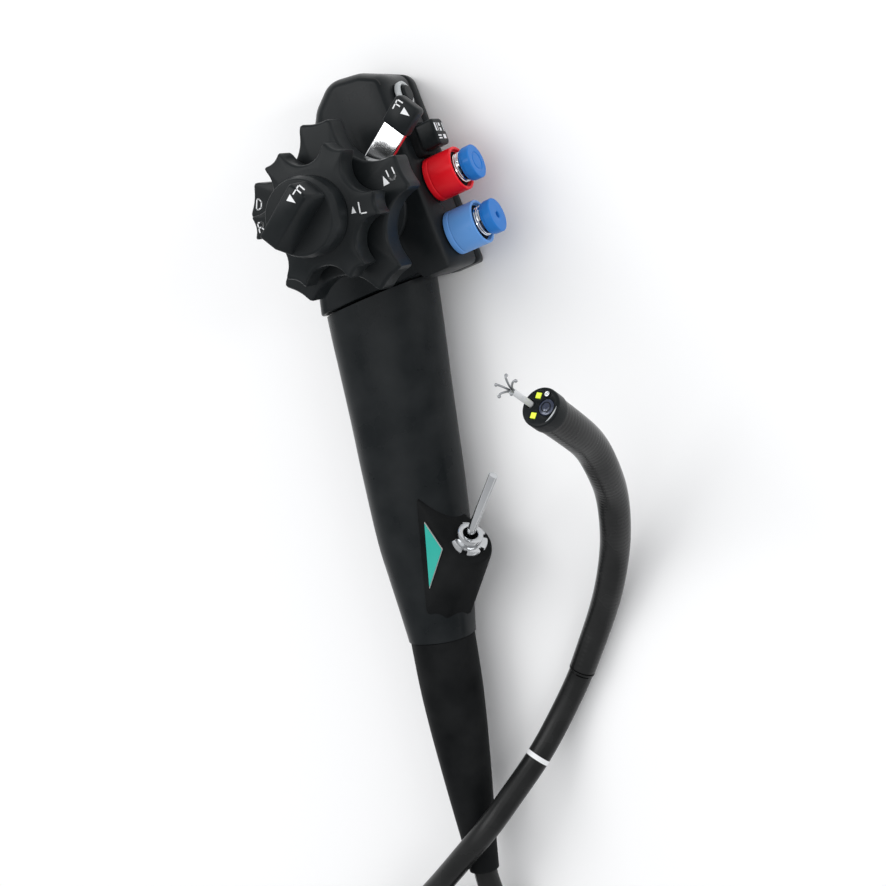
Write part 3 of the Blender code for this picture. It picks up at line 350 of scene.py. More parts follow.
def sweep(points, radius, sides):
    """A round rod along points."""
    rings = []
    normal = None
    for i, point in enumerate(points):
        before = points[i - 1] if i else point
        after = points[min(i + 1, len(points) - 1)]
        heading = (after - before).normalized()
        if normal is None:
            normal = heading.orthogonal().normalized()
        normal = (normal - heading * normal.dot(heading)).normalized()
        side = heading.cross(normal)
        rings.append([point + (normal * cos(a) + side * sin(a)) * radius
                      for a in (2 * pi * k / sides for k in range(sides))])
    return skin(rings)


# Finishes

RELIEF = 0.04
PATCHES = 70.0          # in a metre


def put(node, values):
    """Sets a node's inputs by name."""
    for name, value in values.items():
        node.inputs[name].default_value = value


def surface(name, colour, roughness, metallic=0.0, grain_mm=0.2, bump=0.25, spread=0.08, blotch=0.25,
            coat=0.0, stretch=(1.0, 1.0, 1.0), specular=0.5):
    """A finish with fine grain in its relief, and broad patches in its colour and roughness."""
    made = bpy.data.materials.new(name)
    made.use_nodes = True
    tree = made.node_tree
    shader = tree.nodes["Principled BSDF"]
    put(shader, {"Metallic": metallic, "Coat Weight": coat, "Coat Roughness": 0.15,
                 "Specular IOR Level": specular})
    spot = tree.nodes.new("ShaderNodeTexCoord")
    mapping = tree.nodes.new("ShaderNodeMapping")
    put(mapping, {"Scale": stretch})
    tree.links.new(spot.outputs["Object"], mapping.inputs["Vector"])
    fine = tree.nodes.new("ShaderNodeTexNoise")
    put(fine, {"Scale": 1.0 / (grain_mm * MM), "Detail": 3.0})
    broad = tree.nodes.new("ShaderNodeTexNoise")
    put(broad, {"Scale": PATCHES, "Detail": 4.0})
    for noise in (fine, broad):
        tree.links.new(mapping.outputs["Vector"], noise.inputs["Vector"])
    relief = tree.nodes.new("ShaderNodeBump")
    put(relief, {"Strength": bump, "Distance": RELIEF * MM})
    tree.links.new(fine.outputs["Fac"], relief.inputs["Height"])
    tree.links.new(relief.outputs["Normal"], shader.inputs["Normal"])
    rough = tree.nodes.new("ShaderNodeMapRange")
    put(rough, {"From Min": 0.3, "From Max": 0.7, "To Min": max(roughness - spread, 0.02),
                "To Max": roughness + spread})
    tree.links.new(broad.outputs["Fac"], rough.inputs["Value"])
    tree.links.new(rough.outputs["Result"], shader.inputs["Roughness"])
    tint = tree.nodes.new("ShaderNodeMix")
    tint.data_type = "RGBA"
    put(tint, {"A": (*colour, 1.0), "B": (*[c + (1 - c) * 0.02 + c * blotch for c in colour], 1.0)})
    tree.links.new(broad.outputs["Fac"], tint.inputs["Factor"])
    tree.links.new(tint.outputs["Result"], shader.inputs["Base Color"])
    return made


def glass_look():
    made = surface("lens_glass", (0.010, 0.014, 0.030), 0.04, spread=0.01, bump=0.0, coat=1.0)
    put(made.node_tree.nodes["Principled BSDF"], {"Coat Tint": (0.65, 0.75, 1.0, 1.0)})
    return made


def lamp_look():
    """A yellow phosphor, with a faint painted glow in its emission."""
    made = surface("lamp_yellow", (0.66, 0.80, 0.03), 0.35, spread=0.05, bump=0.2, coat=0.6)
    # Emission here is painted glow, not a lit lamp.
    put(made.node_tree.nodes["Principled BSDF"], {"Emission Color": (0.72, 0.90, 0.04, 1.0),
                                                  "Emission Strength": 0.30})
    return made


# Each material slot's colour and roughness, and what sets its finish apart
FINISHES = {
    "housing_black": ((0.0012, 0.0030, 0.0040), 0.32, dict(grain_mm=0.18, bump=0.35, specular=0.11)),
    "knob_black": ((0.0014, 0.0034, 0.0044), 0.38, dict(grain_mm=0.22, bump=0.5, specular=0.13)),
    "boot_black": ((0.0006, 0.0012, 0.0016), 0.44, dict(grain_mm=0.3, bump=0.5, specular=0.02)),
    "tube_black": ((0.0050, 0.0054, 0.0054), 0.27, dict(grain_mm=0.5, bump=0.25, specular=0.14)),
    "chrome": ((0.74, 0.75, 0.76), 0.16, dict(metallic=1.0, grain_mm=0.3, bump=0.05, spread=0.06)),
    "steel": ((0.70, 0.71, 0.72), 0.28, dict(metallic=1.0, grain_mm=0.1, bump=0.15, stretch=(1, 1, 0.15))),
    "brass": ((0.62, 0.47, 0.20), 0.28, dict(metallic=1.0, grain_mm=0.1, bump=0.15)),
    "red": ((0.86, 0.002, 0.012), 0.34, dict(grain_mm=0.25, bump=0.3, blotch=0.12, specular=0.2)),
    "pale_blue": ((0.115, 0.32, 0.72), 0.34, dict(grain_mm=0.25, bump=0.3, blotch=0.10, specular=0.25)),
    "blue": ((0.008, 0.165, 0.54), 0.34, dict(grain_mm=0.25, bump=0.3, blotch=0.12, specular=0.2)),
    "teal": ((0.004, 0.37, 0.30), 0.38, dict(grain_mm=0.3, bump=0.15, blotch=0.10)),
    "grey": ((0.42, 0.44, 0.45), 0.35, dict(grain_mm=0.2, bump=0.2)),
    "clear_tube": ((0.70, 0.72, 0.70), 0.35, dict(grain_mm=0.5, bump=0.1)),
}
LOOKS = {name: surface(name, colour, roughness, **rest)
         for name, (colour, roughness, rest) in FINISHES.items()}
LOOKS["lens_glass"] = glass_look()
LOOKS["lamp_yellow"] = lamp_look()
PRINT = surface("white_print", (0.80, 0.81, 0.82), 0.45, grain_mm=0.12, bump=0.1, blotch=0.05)
DARK_CHROME = surface("port_chrome", (0.50, 0.51, 0.52), 0.18, 1.0, grain_mm=0.3, bump=0.05, spread=0.06)
RIM_LOOK = surface("label_edge", (0.42, 0.44, 0.43), 0.5, grain_mm=0.12, bump=0.1, blotch=0.05)
SLEEVE_LOOK = surface("sleeve_black", (0.0050, 0.0054, 0.0054), 0.25, grain_mm=0.5, bump=0.25, specular=0.20)
SHEATH_LOOK = surface("forceps_sheath", (0.60, 0.61, 0.62), 0.30, grain_mm=0.1, bump=0.15, specular=0.5)
PRONG_LOOK = surface("prong_steel", (0.30, 0.31, 0.32), 0.30, 1.0, grain_mm=0.1, bump=0.15)
SEAM_LOOK = surface("seam_shadow", (0.0015, 0.0015, 0.0018), 0.7, grain_mm=0.3, bump=0.1)


def dress_frame():
    """Every node of the frame takes its slot's finish."""
    slots = {entry["node"]: entry["material_slot"] for entry in frame["record"]["subparts"]}
    for name, node in frame["nodes"].items():
        node.data.materials.clear()
        node.data.materials.append(LOOKS[slots[name]])


def piece(name, mesh, body, look, covers=(), place=None, sharp=32.0):
    """A named piece of a mesh in millimetres, which rides on a body and stands for the nodes it covers.

    Its look is a slot's name, or a finish of its own."""
    bmesh.ops.recalc_face_normals(mesh, faces=mesh.faces)
    if place is not None:
        mesh.transform(place)
    mesh.transform(Matrix.Scale(MM, 4))
    data = bpy.data.meshes.new(name)
    mesh.to_mesh(data)
    mesh.free()
    data.shade_smooth()
    data.set_sharp_from_angle(angle=radians(sharp))
    made = add_object(name, data)
    if isinstance(look, str):
        data.materials.append(LOOKS[look])
    else:
        data.materials.append(look)
    if body:
        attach(made, body)
    if covers:
        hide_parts(*covers)
    return made


# Camera and light

FLOOR_HALF = 3.0        # in metres, like the lights
FLOOR_CLEAR = 0.0002


def camera():
    """The camera of the photograph, found from the object's own sizes."""
    data = bpy.data.cameras.new("camera")
    data.sensor_width = 36.0
    data.lens = 68.26
    data.clip_end = 20.0
    made = add_object("camera", data)
    right = (0.88957881, -0.18097303, -0.41940232)
    up = (0.11224005, 0.97661999, -0.18334546)
    back = (0.44277727, 0.1160265, 0.88909287)
    place = Matrix((right, up, back)).transposed().to_4x4()
    place.translation = Vector((277.78, -16.80, 561.56)) * MM
    made.matrix_world = place
    bpy.context.scene.camera = made


def soft_light(name, place, aim, size, power):
    data = bpy.data.lights.new(name, "AREA")
    data.shape = "RECTANGLE"
    data.size, data.size_y = size
    data.energy = power
    made = add_object(name, data)
    made.location = place
    made.rotation_euler = (Vector(aim) - Vector(place)).to_track_quat("-Z", "Y").to_euler()


def studio():
    world = bpy.data.worlds.new("studio")
    bpy.context.scene.world = world
    world.use_nodes = True
    put(world.node_tree.nodes["Background"], {"Color": (0.97, 0.98, 1.0, 1.0), "Strength": 0.62})
    soft_light("key", (-0.7, 0.5, 1.1), (0.0, -0.1, 0.0), (0.5, 0.9), 5.0)
    soft_light("rim", (0.9, 0.1, 0.35), (0.0, -0.1, 0.02), (0.15, 0.9), 2.2)
    sun = bpy.data.lights.new("overhead", "SUN")
    sun.energy = 0.8
    sun.angle = radians(60.0)
    made = add_object("overhead", sun)
    made.rotation_euler = (radians(-18.0), radians(-14.0), 0.0)
    floor = bpy.data.meshes.new("floor")
    floor.from_pydata([(FLOOR_HALF * x, FLOOR_HALF * y, 0) for x, y in QUAD], [], [(0, 1, 2, 3)])
    ground = add_object("floor", floor)
    ground.location.z = -FLOOR_CLEAR
    white = surface("floor_white", (0.97, 0.97, 0.97), 0.8, grain_mm=2.0, bump=0.02, blotch=0.0)
    floor.materials.append(white)


# Insertion tube

def ramp(turn, start, span):
    """From 0 to 1, gently, as the winding runs on from a start through a span of degrees."""
    return 0.5 - 0.5 * cos(pi * min(max((start - turn) / span, 0.0), 1.0))


def coil_points():
    """Two turns on the table and two thirds of a turn on top of them, clockwise from above.

    Angles in degrees: where the winding enters, steps inwards, climbs, passes over that step, and leaves,
    then the spans of the step, the climb, the rise at the end and half the bump."""
    enter, over, up, bump, leave = 22.0, -252.0, -560.0, -655.0, -935.8
    over_span, up_span, end_span, bump_half = 86.0, 90.0, 50.0, 60.0
    end_lift, bump_lift = 1.3, 1.4
    pitch = COIL_OUTER - COIL_INNER
    points = []
    count = ceil((enter - leave) / 15.0)
    for i in range(count + 1):
        turn = enter + (leave - enter) * i / count
        radius, z = COIL_OUTER - pitch * ramp(turn, over, over_span), COIL_Z
        rise = ramp(turn, up, up_span)
        if rise > 0:
            lean = radians(180.0 - 60.0 * rise)
            radius = COIL_OUTER + pitch * cos(lean)
            z += pitch * sin(lean) + end_lift * ramp(turn, leave + end_span, end_span)
            z += bump_lift * cos(pi / 2 * min(abs(turn - bump) / bump_half, 1.0)) ** 2
        a = radians(turn)
        points.append(Vector((COIL_MID[0] + radius * cos(a), COIL_MID[1] + radius * sin(a), z)))
    return points


def cord_points(given, steps):
    """A smooth curve through points that lie unevenly far apart."""
    ends = [given[0] * 2 - given[1]] + given + [given[-1] * 2 - given[-2]]
    points = []
    for a, b, c, d in zip(ends, ends[1:], ends[2:], ends[3:]):
        before, here, after = (b - a).length, (c - b).length, (d - c).length
        start = ((b - a) * here / before + (c - b) * before / here) * here / (before + here)
        end = ((c - b) * after / here + (d - c) * here / after) * here / (here + after)
        for k in range(steps):
            t = k / steps
            points.append(b * (2 * t - 3) * t * t + b + c * (3 - 2 * t) * t * t
                          + start * (t - 1) ** 2 * t + end * (t - 1) * t * t)
    points.append(given[-1])
    for _ in range(EASINGS):
        inner = [(a + b * 2 + c) / 4 for a, b, c in zip(points[1:], points[2:], points[3:])]
        points = points[:2] + inner + points[-2:]
    return points


def tube_route():
    inside = [Vector((grip_mid(y), y, GRIP_Z)) for y in INSIDE_Y]
    given = inside + [Vector(p) for p in LEAD_OUT + LEAD_IN] + coil_points()
    given += [Vector(p) for p in LEAD_OVER + LEAD_BACK]
    return cord_points(given, 4)


def insertion_tube(boot):
    route = tube_route()
    data = bpy.data.curves.new("insertion_tube", "CURVE")
    data.dimensions = "3D"
    data.bevel_depth = TUBE_R * MM
    data.bevel_resolution = 8
    data.use_fill_caps = True
    line = data.splines.new("POLY")
    line.points.add(len(route) - 1)
    for spot, point in zip(line.points, route):
        spot.co = (*(point * MM), 1.0)
    line.use_smooth = True
    data.materials.append(LOOKS["tube_black"])
    made = add_object("insertion_tube", data)
    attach(made, "root")
    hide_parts("insertion_tube_out", "insertion_tube_coil", "insertion_tube_back")
    near = min(range(len(route)), key=lambda i: (route[i] - Vector(MARK_AT)).length)
    heading = route[near + 1] - route[near - 1]
    band = soft_profile(((TUBE_R - 0.2, -0.95), (TUBE_R + 0.09, -0.9), (TUBE_R + 0.09, 0.9),
                         (TUBE_R - 0.2, 0.95)), 0.06, close=True)
    mark = piece("tube_mark", lathe(band, close=True), "root", PRINT, place=frame_along(route[near], heading))
    foot = soft_profile(((TUBE_R - 0.3, -0.7), (TUBE_R + 0.25, -0.6), (COVER_R0 + 0.05, 0.2),
                         (TUBE_R - 0.3, 0.3)), 0.1, close=True)
    end = frame_along(route[-1], route[-1] - route[-3])
    joint = piece("bend_seam", lathe(foot, close=True), "root", "tube_black", place=end)


# Head

def head_outline(left=0.0, right=0.0, foot=0.0):
    """The head's outline, set in by its own amount on the far side, the valve side and the foot."""
    lines = []
    for i, (x, y, _) in enumerate(HEAD_CORNERS):
        after = HEAD_CORNERS[(i + 1) % len(HEAD_CORNERS)]
        along = Vector((after[0] - x, after[1] - y)).normalized()
        normal = Vector((along.y, -along.x))
        share = min(max((normal.x + 0.6) / 1.2, 0.0), 1.0)
        less = foot if i >= HEAD_FOOT_EDGE else left + (right - left) * share
        lines.append((Vector((x, y)) - normal * less, along, less))
    corners = []
    for i, (_, _, radius) in enumerate(HEAD_CORNERS):
        (a, along_a, less_a), (b, along_b, less_b) = lines[i - 1], lines[i]
        corner = a + along_a * ((b - a).cross(along_b) / along_a.cross(along_b))
        corners.append((corner.x, corner.y, max(radius - max(less_a, less_b), 0.8)))
    return rounded(corners)


def head_shells():
    """The moulded housing over its back cover, with the dark seam between them."""
    low = BACK_DEPTH + SEAM
    rings = [ring_at(head_outline(0.5, 0.5, 0.3), low), ring_at(head_outline(0.12, 0.12, 0.1), low + 0.15),
             ring_at(head_outline(), low + 0.6)]
    for k in range(11):
        a = radians(90.0 * k / 10)
        less = 1 - cos(a)
        height = HEAD_DEPTH - HEAD_EASE * (1 - sin(a))
        rings.append(ring_at(head_outline(*(most * less for most in HEAD_DOME)), height))
    piece("housing", skin(rings), "root", "housing_black", ("main_housing",), HEAD, sharp=50)
    rings = []
    for k in range(9):
        a = radians(90.0 - 90.0 * k / 8)
        less = 1 - cos(a)
        rings.append(ring_at(head_outline(*(most * less for most in BACK_DOME)), BACK_EASE * (1 - sin(a))))
    rings += [ring_at(head_outline(), BACK_DEPTH - 0.4), ring_at(head_outline(0.4, 0.4, 0.3), BACK_DEPTH)]
    piece("back_shell", skin(rings), "root", "housing_black", ("back_cover",), HEAD, sharp=50)
    seam = slab(head_outline(0.3, 0.3, 0.3), BACK_DEPTH - 0.2, low + 0.2)
    piece("housing_seam", seam, "root", "boot_black", ("housing_gasket",), HEAD)
    edge = [p for p in head_outline(3.9, 1.25, 0.4) if p.x > 3.0 and p.y > LEDGE + 4.0]
    line = [Vector((p.x, p.y, HEAD_DEPTH - 1.02)) for p in sorted(edge, key=lambda p: atan2(p.y, p.x))]
    piece("lid_seam", sweep(line, 0.24, 8), "root", SEAM_LOOK, (), HEAD)


# Knobs

def arc_between(a, b, sag, count):
    """Points on the arc from a to b that dips towards the middle by sag, without its end."""
    chord = (b - a).length
    bend = (chord * chord / 4 + sag * sag) / (2 * sag)
    middle = (a + b) / 2
    centre = middle + middle.normalized() * (bend - sag)
    first = atan2(*(a - centre).yx)
    last = atan2(*(b - centre).yx)
    turn = (last - first + pi) % (2 * pi) - pi
    return [centre + Vector((cos(first + turn * i / count), sin(first + turn * i / count))) * bend
            for i in range(count)]


def scallop(radius, lobes, phase, lobe_half, depth, dip):
    """The outline of a knob: deep finger notches between lobes whose tips are hollow and corners eased."""
    points = []
    steps = 18
    pitch = 360.0 / lobes
    for k in range(lobes):
        mid = phase + k * pitch
        corners = [(mid - lobe_half, dip, steps // 2), (mid + lobe_half, depth, steps)]
        for (start, sag, count), end in zip(corners, (mid + lobe_half, mid + pitch - lobe_half)):
            a = Vector((cos(radians(start)), sin(radians(start)))) * radius
            b = Vector((cos(radians(end)), sin(radians(end)))) * radius
            points += arc_between(a, b, sag, count)
    for _ in range(2):
        points = [(points[i - 1] + p * 2 + points[(i + 1) % len(points)]) / 4 for i, p in enumerate(points)]
    return points


def wheel(name, outline, z, height, bore, body, covers, rise=0.0, rise_r=0.0, hub=0.0):
    """A scalloped hand wheel with eased edges, a face that rises to its hub, and a hub below it."""
    edge = 1.3
    turns = [radians(15 * k) for k in range(7)]

    def inset(amount, height_z):
        return ring_at([p * (1 - amount / p.length) for p in outline], height_z)

    def level(radius, height_z):
        return ring_at([p.normalized() * radius for p in outline], height_z)
    rings = [level(bore, z - hub)]
    if hub:
        rings += [level(rise_r - 1.0, z - hub), level(rise_r, z - hub + 1.0), level(rise_r, z)]
    rings += [inset(edge * (1 - sin(a)), z + edge * (1 - cos(a))) for a in turns]
    rings += [inset(edge * (1 - cos(a)), z + height - edge * (1 - sin(a))) for a in turns]
    if rise:
        rings += [level(rise_r + 0.8, z + height + rise * 0.1), level(rise_r, z + height + rise)]
    rings.append(level(bore, z + height + rise))
    piece(name, skin(rings, close=True), body, "knob_black", covers, HEAD, sharp=40)


def hand_wheels():
    outline = scallop(UD_WHEEL_R, 5, 5.4, UD_LOBE_HALF, 8.0, 1.2)
    wheel("ud_hand_wheel", outline, UD_WHEEL_Z, UD_WHEEL_H, 7.1, "ud_knob", ("ud_wheel",))
    outline = scallop(RL_WHEEL_R, 6, -11.4, RL_LOBE_HALF, 6.5, 1.5)
    wheel("rl_hand_wheel", outline, RL_WHEEL_Z, RL_WHEEL_H, 4.7, "rl_knob", ("rl_wheel",), rise=0.6,
          rise_r=RL_HUB_R, hub=RL_WHEEL_Z - UD_WHEEL_Z - UD_WHEEL_H - GAP)


def lock_knob():
    top = LOCK_Z + LOCK_H
    profile = soft_profile(((0.01, LOCK_Z), (LOCK_R, LOCK_Z), (LOCK_R, top - 3.0), (LOCK_R - 1.0, top),
                            (0.01, top)), 0.6, 5)
    disc = lathe(profile, 96)
    end = sqrt((LOCK_R - 0.8) ** 2 - (BAR_W / 2) ** 2)
    rings = []
    for (x0, x1, half), z in (((-end, end, 4.5), top - 2.0), ((-end, end, 4.5), top + 0.3),
                              ((-9.4, end - 0.1, 3.75), top + BAR_H - 1.0),
                              ((-9.0, end - 0.5, 3.45), top + BAR_H - 0.25),
                              ((-8.6, end - 0.9, 3.1), top + BAR_H)):
        outline = rounded(((x0, -half, 0.7), (x1, -half, 1.2), (x1, half, 1.2), (x0, half, 0.7)), 5)
        rings.append(ring_at(outline, z))
    whole = join(disc, skin(rings))
    piece("rl_lock", whole, "rl_lock", "knob_black", ("rl_lock_knob",), HEAD @ turn_z(BAR_TURN), sharp=40)


def lock_lever():
    place = HEAD @ turn_z(LEVER_TURN)
    top = LEVER_Z + LEVER_THICK
    half = LEVER_W / 2
    inner = BUSH_R + GAP
    profile = ((LEVER_HUB_R, LEVER_Z), (LEVER_HUB_R, top), (inner, top), (inner, LEVER_Z))
    hub = lathe(soft_profile(profile, 0.35, 3, True), 72, close=True)
    near, far = inner + 1.2, LEVER_R + 5.0
    arm = []
    for less, z in ((0.3, LEVER_Z), (0.0, LEVER_Z + 0.3), (0.0, top - 0.3), (0.3, top)):
        side = half - less
        outline = rounded(((near, -side, 0.3), (far, -side, 0.3), (far, side, 0.3), (near, side, 0.3)), 2)
        arm.append(ring_at(outline, z))
    piece("ud_lever", join(hub, skin(arm)), "ud_lock", "chrome", ("ud_lock_lever",), place)
    mid = LEVER_Z + LEVER_THICK / 2
    tab = []
    for less, z in ((0.6, -1.0), (0.18, -0.82), (0.0, -0.4), (0.0, 0.4), (0.18, 0.82), (0.6, 1.0)):
        near, far, side = LEVER_R + less, LEVER_R + TAB_LONG - less, TAB_W / 2 - less
        outline = rounded(((near, -side, 0.8), (far, -side, 1.5), (far, side, 1.5), (near, side, 0.8)))
        tab.append(ring_at(outline, mid + z * TAB_H / 2))
    piece("lever_thumb_tab", skin(tab), "ud_lock", "knob_black", ("lever_tab",), place, sharp=50)


def brake():
    profile = soft_profile(((BRAKE_R, HEAD_DEPTH + GAP), (BRAKE_R, HEAD_DEPTH + 1.6),
                            (BRAKE_R - 0.5, HEAD_DEPTH + 2.0), (BRAKE_R - 0.5, BRAKE_TOP - 1.6),
                            (BRAKE_R - 0.9, BRAKE_TOP - 0.6), (BRAKE_R - 1.6, BRAKE_TOP),
                            (BUSH_R + GAP, BRAKE_TOP), (BUSH_R + GAP, HEAD_DEPTH + GAP)), 0.4, 3, True)
    piece("brake_cover", lathe(profile, 96, close=True), "root", "knob_black", ("brake_housing",))


# Valves and switches

def valve(name, body, height_h, collar_look):
    place = valve_frame(height_h)
    inner = VALVE_R + GAP
    profile = soft_profile(((COLLAR_R, VALVE_FACE + GAP), (COLLAR_R, VALVE_FACE + 2.2),
                            (COLLAR_R - 0.25, VALVE_FACE + 2.5), (COLLAR_R, VALVE_FACE + 2.8),
                            (COLLAR_R, COLLAR_END), (COLLAR_R - 1.1, COLLAR_END),
                            (COLLAR_R - 1.3, COLLAR_END - 1.2), (inner, COLLAR_END - 1.2),
                            (inner, VALVE_FACE + GAP)), 0.45, 4, True)
    piece(f"{name}_sleeve", lathe(profile, 96, close=True), "root", collar_look, (f"{name}_collar",), place)
    dark = lathe(soft_profile(((4.6, VALVE_TOP - 2.0), (4.6, VALVE_TOP + 0.2), (6.4, VALVE_TOP + 0.2),
                               (6.4, VALVE_TOP - 2.0)), 0.2, 3, True), 64, close=True)
    piece(f"{name}_seal", dark, "root", "boot_black", (), place)
    top = CAP_FOOT + CAP_H
    if name == "suction":
        face = ((CAP_R, top), (3.6, top), (3.4, top - 0.25), (2.9, top - 0.25), (2.7, top), (0.01, top))
    else:
        face = ((CAP_R, top), (1.15, top), (1.05, top - 1.6), (0.01, top - 1.6))
    profile = soft_profile(((0.01, CAP_FOOT), (CAP_R - 0.3, CAP_FOOT), (CAP_R - 0.3, CAP_FOOT + 0.9),
                            (CAP_R, CAP_FOOT + 1.1)) + face, 0.5, 4)
    piece(f"{name}_cap_face", lathe(profile, 72), body, "blue", (f"{name}_cap",), place)
    rod = lathe(((3.0, VALVE_TOP - 6.0), (3.0, CAP_FOOT + 1.0)), 40)
    piece(f"{name}_stem", rod, body, "steel", (), place)
    coil = []
    low = VALVE_TOP + GAP + SPRING_WIRE
    climb = CAP_FOOT - GAP - SPRING_WIRE - low
    count = int(SPRING_TURNS * 40)
    for i in range(count + 1):
        a = 2 * pi * SPRING_TURNS * i / count
        coil.append(Vector((SPRING_R * cos(a), SPRING_R * sin(a), low + climb * i / count)))
    rod = sweep(coil, SPRING_WIRE, 10)
    spring = piece(f"{name}_coil_spring", rod, "root", "chrome", (f"{name}_spring",), place)
    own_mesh(spring)


def rounded_block(wide, tall, radius, z0, z1, ease=0.6):
    """A block on the valve side whose outer edges are rounded."""
    def outline(less):
        x, y = tall / 2 - less, wide / 2 - less
        return rounded(((x, -y, radius), (x, y, radius), (-x, y, radius), (-x, -y, radius)), 6)
    rings = [ring_at(outline(0), z0)]
    rings += [ring_at(outline(ease * (1 - cos(a))), z1 - ease + ease * sin(a))
              for a in (radians(90 * k / 5) for k in range(6))]
    return skin(rings)


def switches():
    place = valve_frame(ROUND_H)
    face = VALVE_FACE + GAP
    ring = soft_profile(((ROUND_R + 0.6, face), (ROUND_R + 0.6, face + 2.2), (ROUND_R - 0.8, face + 2.2),
                         (ROUND_R - 0.8, face)), 0.7, 5, True)
    # The bezel's pale grey is partly a painted highlight along the ring's rim.
    piece("round_switch_bezel", lathe(ring, 64, close=True), "root", "grey", ("round_switch_ring",), place)
    button = soft_profile(((0.01, face - 1.0), (ROUND_R - 1.1, face - 1.0), (ROUND_R - 1.1, face + ROUND_OUT),
                           (0.01, face + ROUND_OUT)), 0.9, 6)
    piece("round_switch_face", lathe(button, 48), "round_switch", "knob_black", ("round_switch_button",),
          place)
    place = valve_frame(BOX_H)
    bezel = rounded_block(BOX_LONG + 2 * BEZEL, BOX_TALL + 2 * BEZEL, 2.0, VALVE_FACE - 1.0,
                          VALVE_FACE + BEZEL_OUT)
    piece("box_switch_bezel", bezel, "root", "boot_black", (), place)
    key = rounded_block(BOX_LONG, BOX_TALL, 1.4, face + 0.5, face + BOX_OUT, 0.9)
    piece("box_switch_body", key, "box_switch", "knob_black", ("box_switch_key",), place)
    top = face + BOX_OUT + 0.02
    marks = [slab(bar(*size), top - 0.05, top) for size in SWITCH_BARS]
    piece("box_switch_marks", join(*marks), "box_switch", PRINT, (), place)


def bar(x, y, wide, tall):
    """The corners of a plain bar around its middle."""
    return [Vector((x + sx * wide / 2, y + sy * tall / 2)) for sx, sy in QUAD]


# Grip, boot and port

def grip_mid(y):
    """The grip's axis drifts a little towards the valves' far side as it runs down."""
    return GRIP_MID + (y - HEAD_FOOT) * GRIP_DRIFT


def oval(y, wide, deep, lean, power):
    mid = grip_mid(y)
    ring = []
    for i in range(OVAL_SIDES):
        a = 2 * pi * i / OVAL_SIDES
        x = copysign(wide * abs(cos(a)) ** (2 / power), cos(a))
        z = copysign(deep * abs(sin(a)) ** (2 / power), sin(a))
        ring.append(Vector((mid + x, y + x * tan(radians(lean)), GRIP_Z + z)))
    return ring


def grip():
    leans = list(GRIP_LEANS) + [0.0] * (len(GRIP_STATIONS) - len(GRIP_LEANS))
    wides = smooth_points([(y, a, b) for y, a, b in GRIP_STATIONS], 5)
    tilts = smooth_points([(y, lean, 0.0) for (y, _, _), lean in zip(GRIP_STATIONS, leans)], 5)
    rings = [oval(p.x, p.y, p.z, q.y, GRIP_POWER) for p, q in zip(wides, tilts)]
    end = oval(GRIP_STATIONS[0][0], 21.9, 14.5, GRIP_LEANS[0], GRIP_POWER)
    piece("grip_body", skin([end] + rings), "root", "housing_black", ("grip_shell",), sharp=45)
    port_boss()


def port_boss():
    """The raised leaf of the grip around the port, melted from the hull of its corners."""
    facet = frame_along(PORT_FOOT, PORT_AXIS)
    boss = bmesh.new()
    points = [facet @ p for p in circle(FACET_R, 0.0, 48) + circle(FACET_R + 0.6, -2.5, 48)]
    for point in points + [Vector(corner) for corner in (LEAF_TIP, LEAF_FOOT) + BOSS_CORNERS]:
        boss.verts.new(point)
    bmesh.ops.convex_hull(boss, input=boss.verts)
    loose = [vert for vert in boss.verts if not vert.link_faces]
    bmesh.ops.delete(boss, geom=loose, context="VERTS")
    made = piece("port_boss", boss, "root", "boot_black")
    melt = made.modifiers.new("melt", "REMESH")
    melt.mode = "VOXEL"
    melt.voxel_size = BOSS_VOXEL * MM
    melt.use_smooth_shade = True
    ease = made.modifiers.new("ease", "SMOOTH")
    ease.factor = 0.5
    ease.iterations = 5


def boot():
    rings = [oval(p.x, p.y, p.z, 0.0, 2.0) for p in smooth_points(BOOT_STATIONS, 6)]
    end, throat = BOOT_STATIONS[-1][0], TUBE_R + 0.15
    rings += [oval(y, throat, throat, 0.0, 2.0) for y in (end, end + 8.0)]
    start = oval(BOOT_STATIONS[0][0], 11.6, 11.5, 0.0, 2.0)
    return piece("strain_relief_boot", skin([start] + rings), "root", "boot_black", ("bend_boot",), sharp=45)


def port():
    place = frame_along(PORT_FOOT, PORT_AXIS)
    flange = []
    for k in range(PORT_LOBES):
        for part, less in LOBE_POINTS:
            a = 2 * pi * (k + part) / PORT_LOBES
            flange.append(Vector((cos(a), sin(a))) * (PORT_FLANGE_R - less))

    def level(radius, z):
        return ring_at([p.normalized() * radius for p in flange], z)

    def inset(less, z):
        return ring_at([p * (1 - less / p.length) for p in flange], z)
    top = PORT_FLANGE_H + PORT_RING_H
    rings = [inset(0.0, GAP), inset(0.0, PORT_FLANGE_H - 0.4), inset(0.12, PORT_FLANGE_H - 0.12),
             inset(0.45, PORT_FLANGE_H), level(PORT_RING_R, PORT_FLANGE_H), level(PORT_RING_R, top - 0.45),
             level(PORT_RING_R - 0.13, top - 0.13), level(PORT_RING_R - 0.45, top),
             level(PORT_BORE + 0.4, top), level(PORT_BORE + 0.1, top - 0.12), level(PORT_BORE, top - 0.5),
             level(PORT_BORE, -4.0), level(4.2, -4.0), level(4.2, GAP)]
    collar = piece("port_collar", skin(rings, close=True), "root", DARK_CHROME, ("channel_port",), place,
                   sharp=28)
    # A dark plug down the bore: painted shade inside the port.
    dark = lathe(((PORT_BORE, -3.0), (PORT_BORE, -2.6)), 48)
    piece("port_bore_shade", dark, "root", SEAM_LOOK, (), place)
    tip = ((ROD_R, -ROD_IN), (ROD_R, ROD_OUT - 0.3), (ROD_R - 0.1, ROD_OUT - 0.08), (ROD_R - 0.35, ROD_OUT))
    rod = piece("forceps_rod", lathe(tip, 48), "forceps_handle", DARK_CHROME, ("forceps_shaft",), place)
    label_rim()


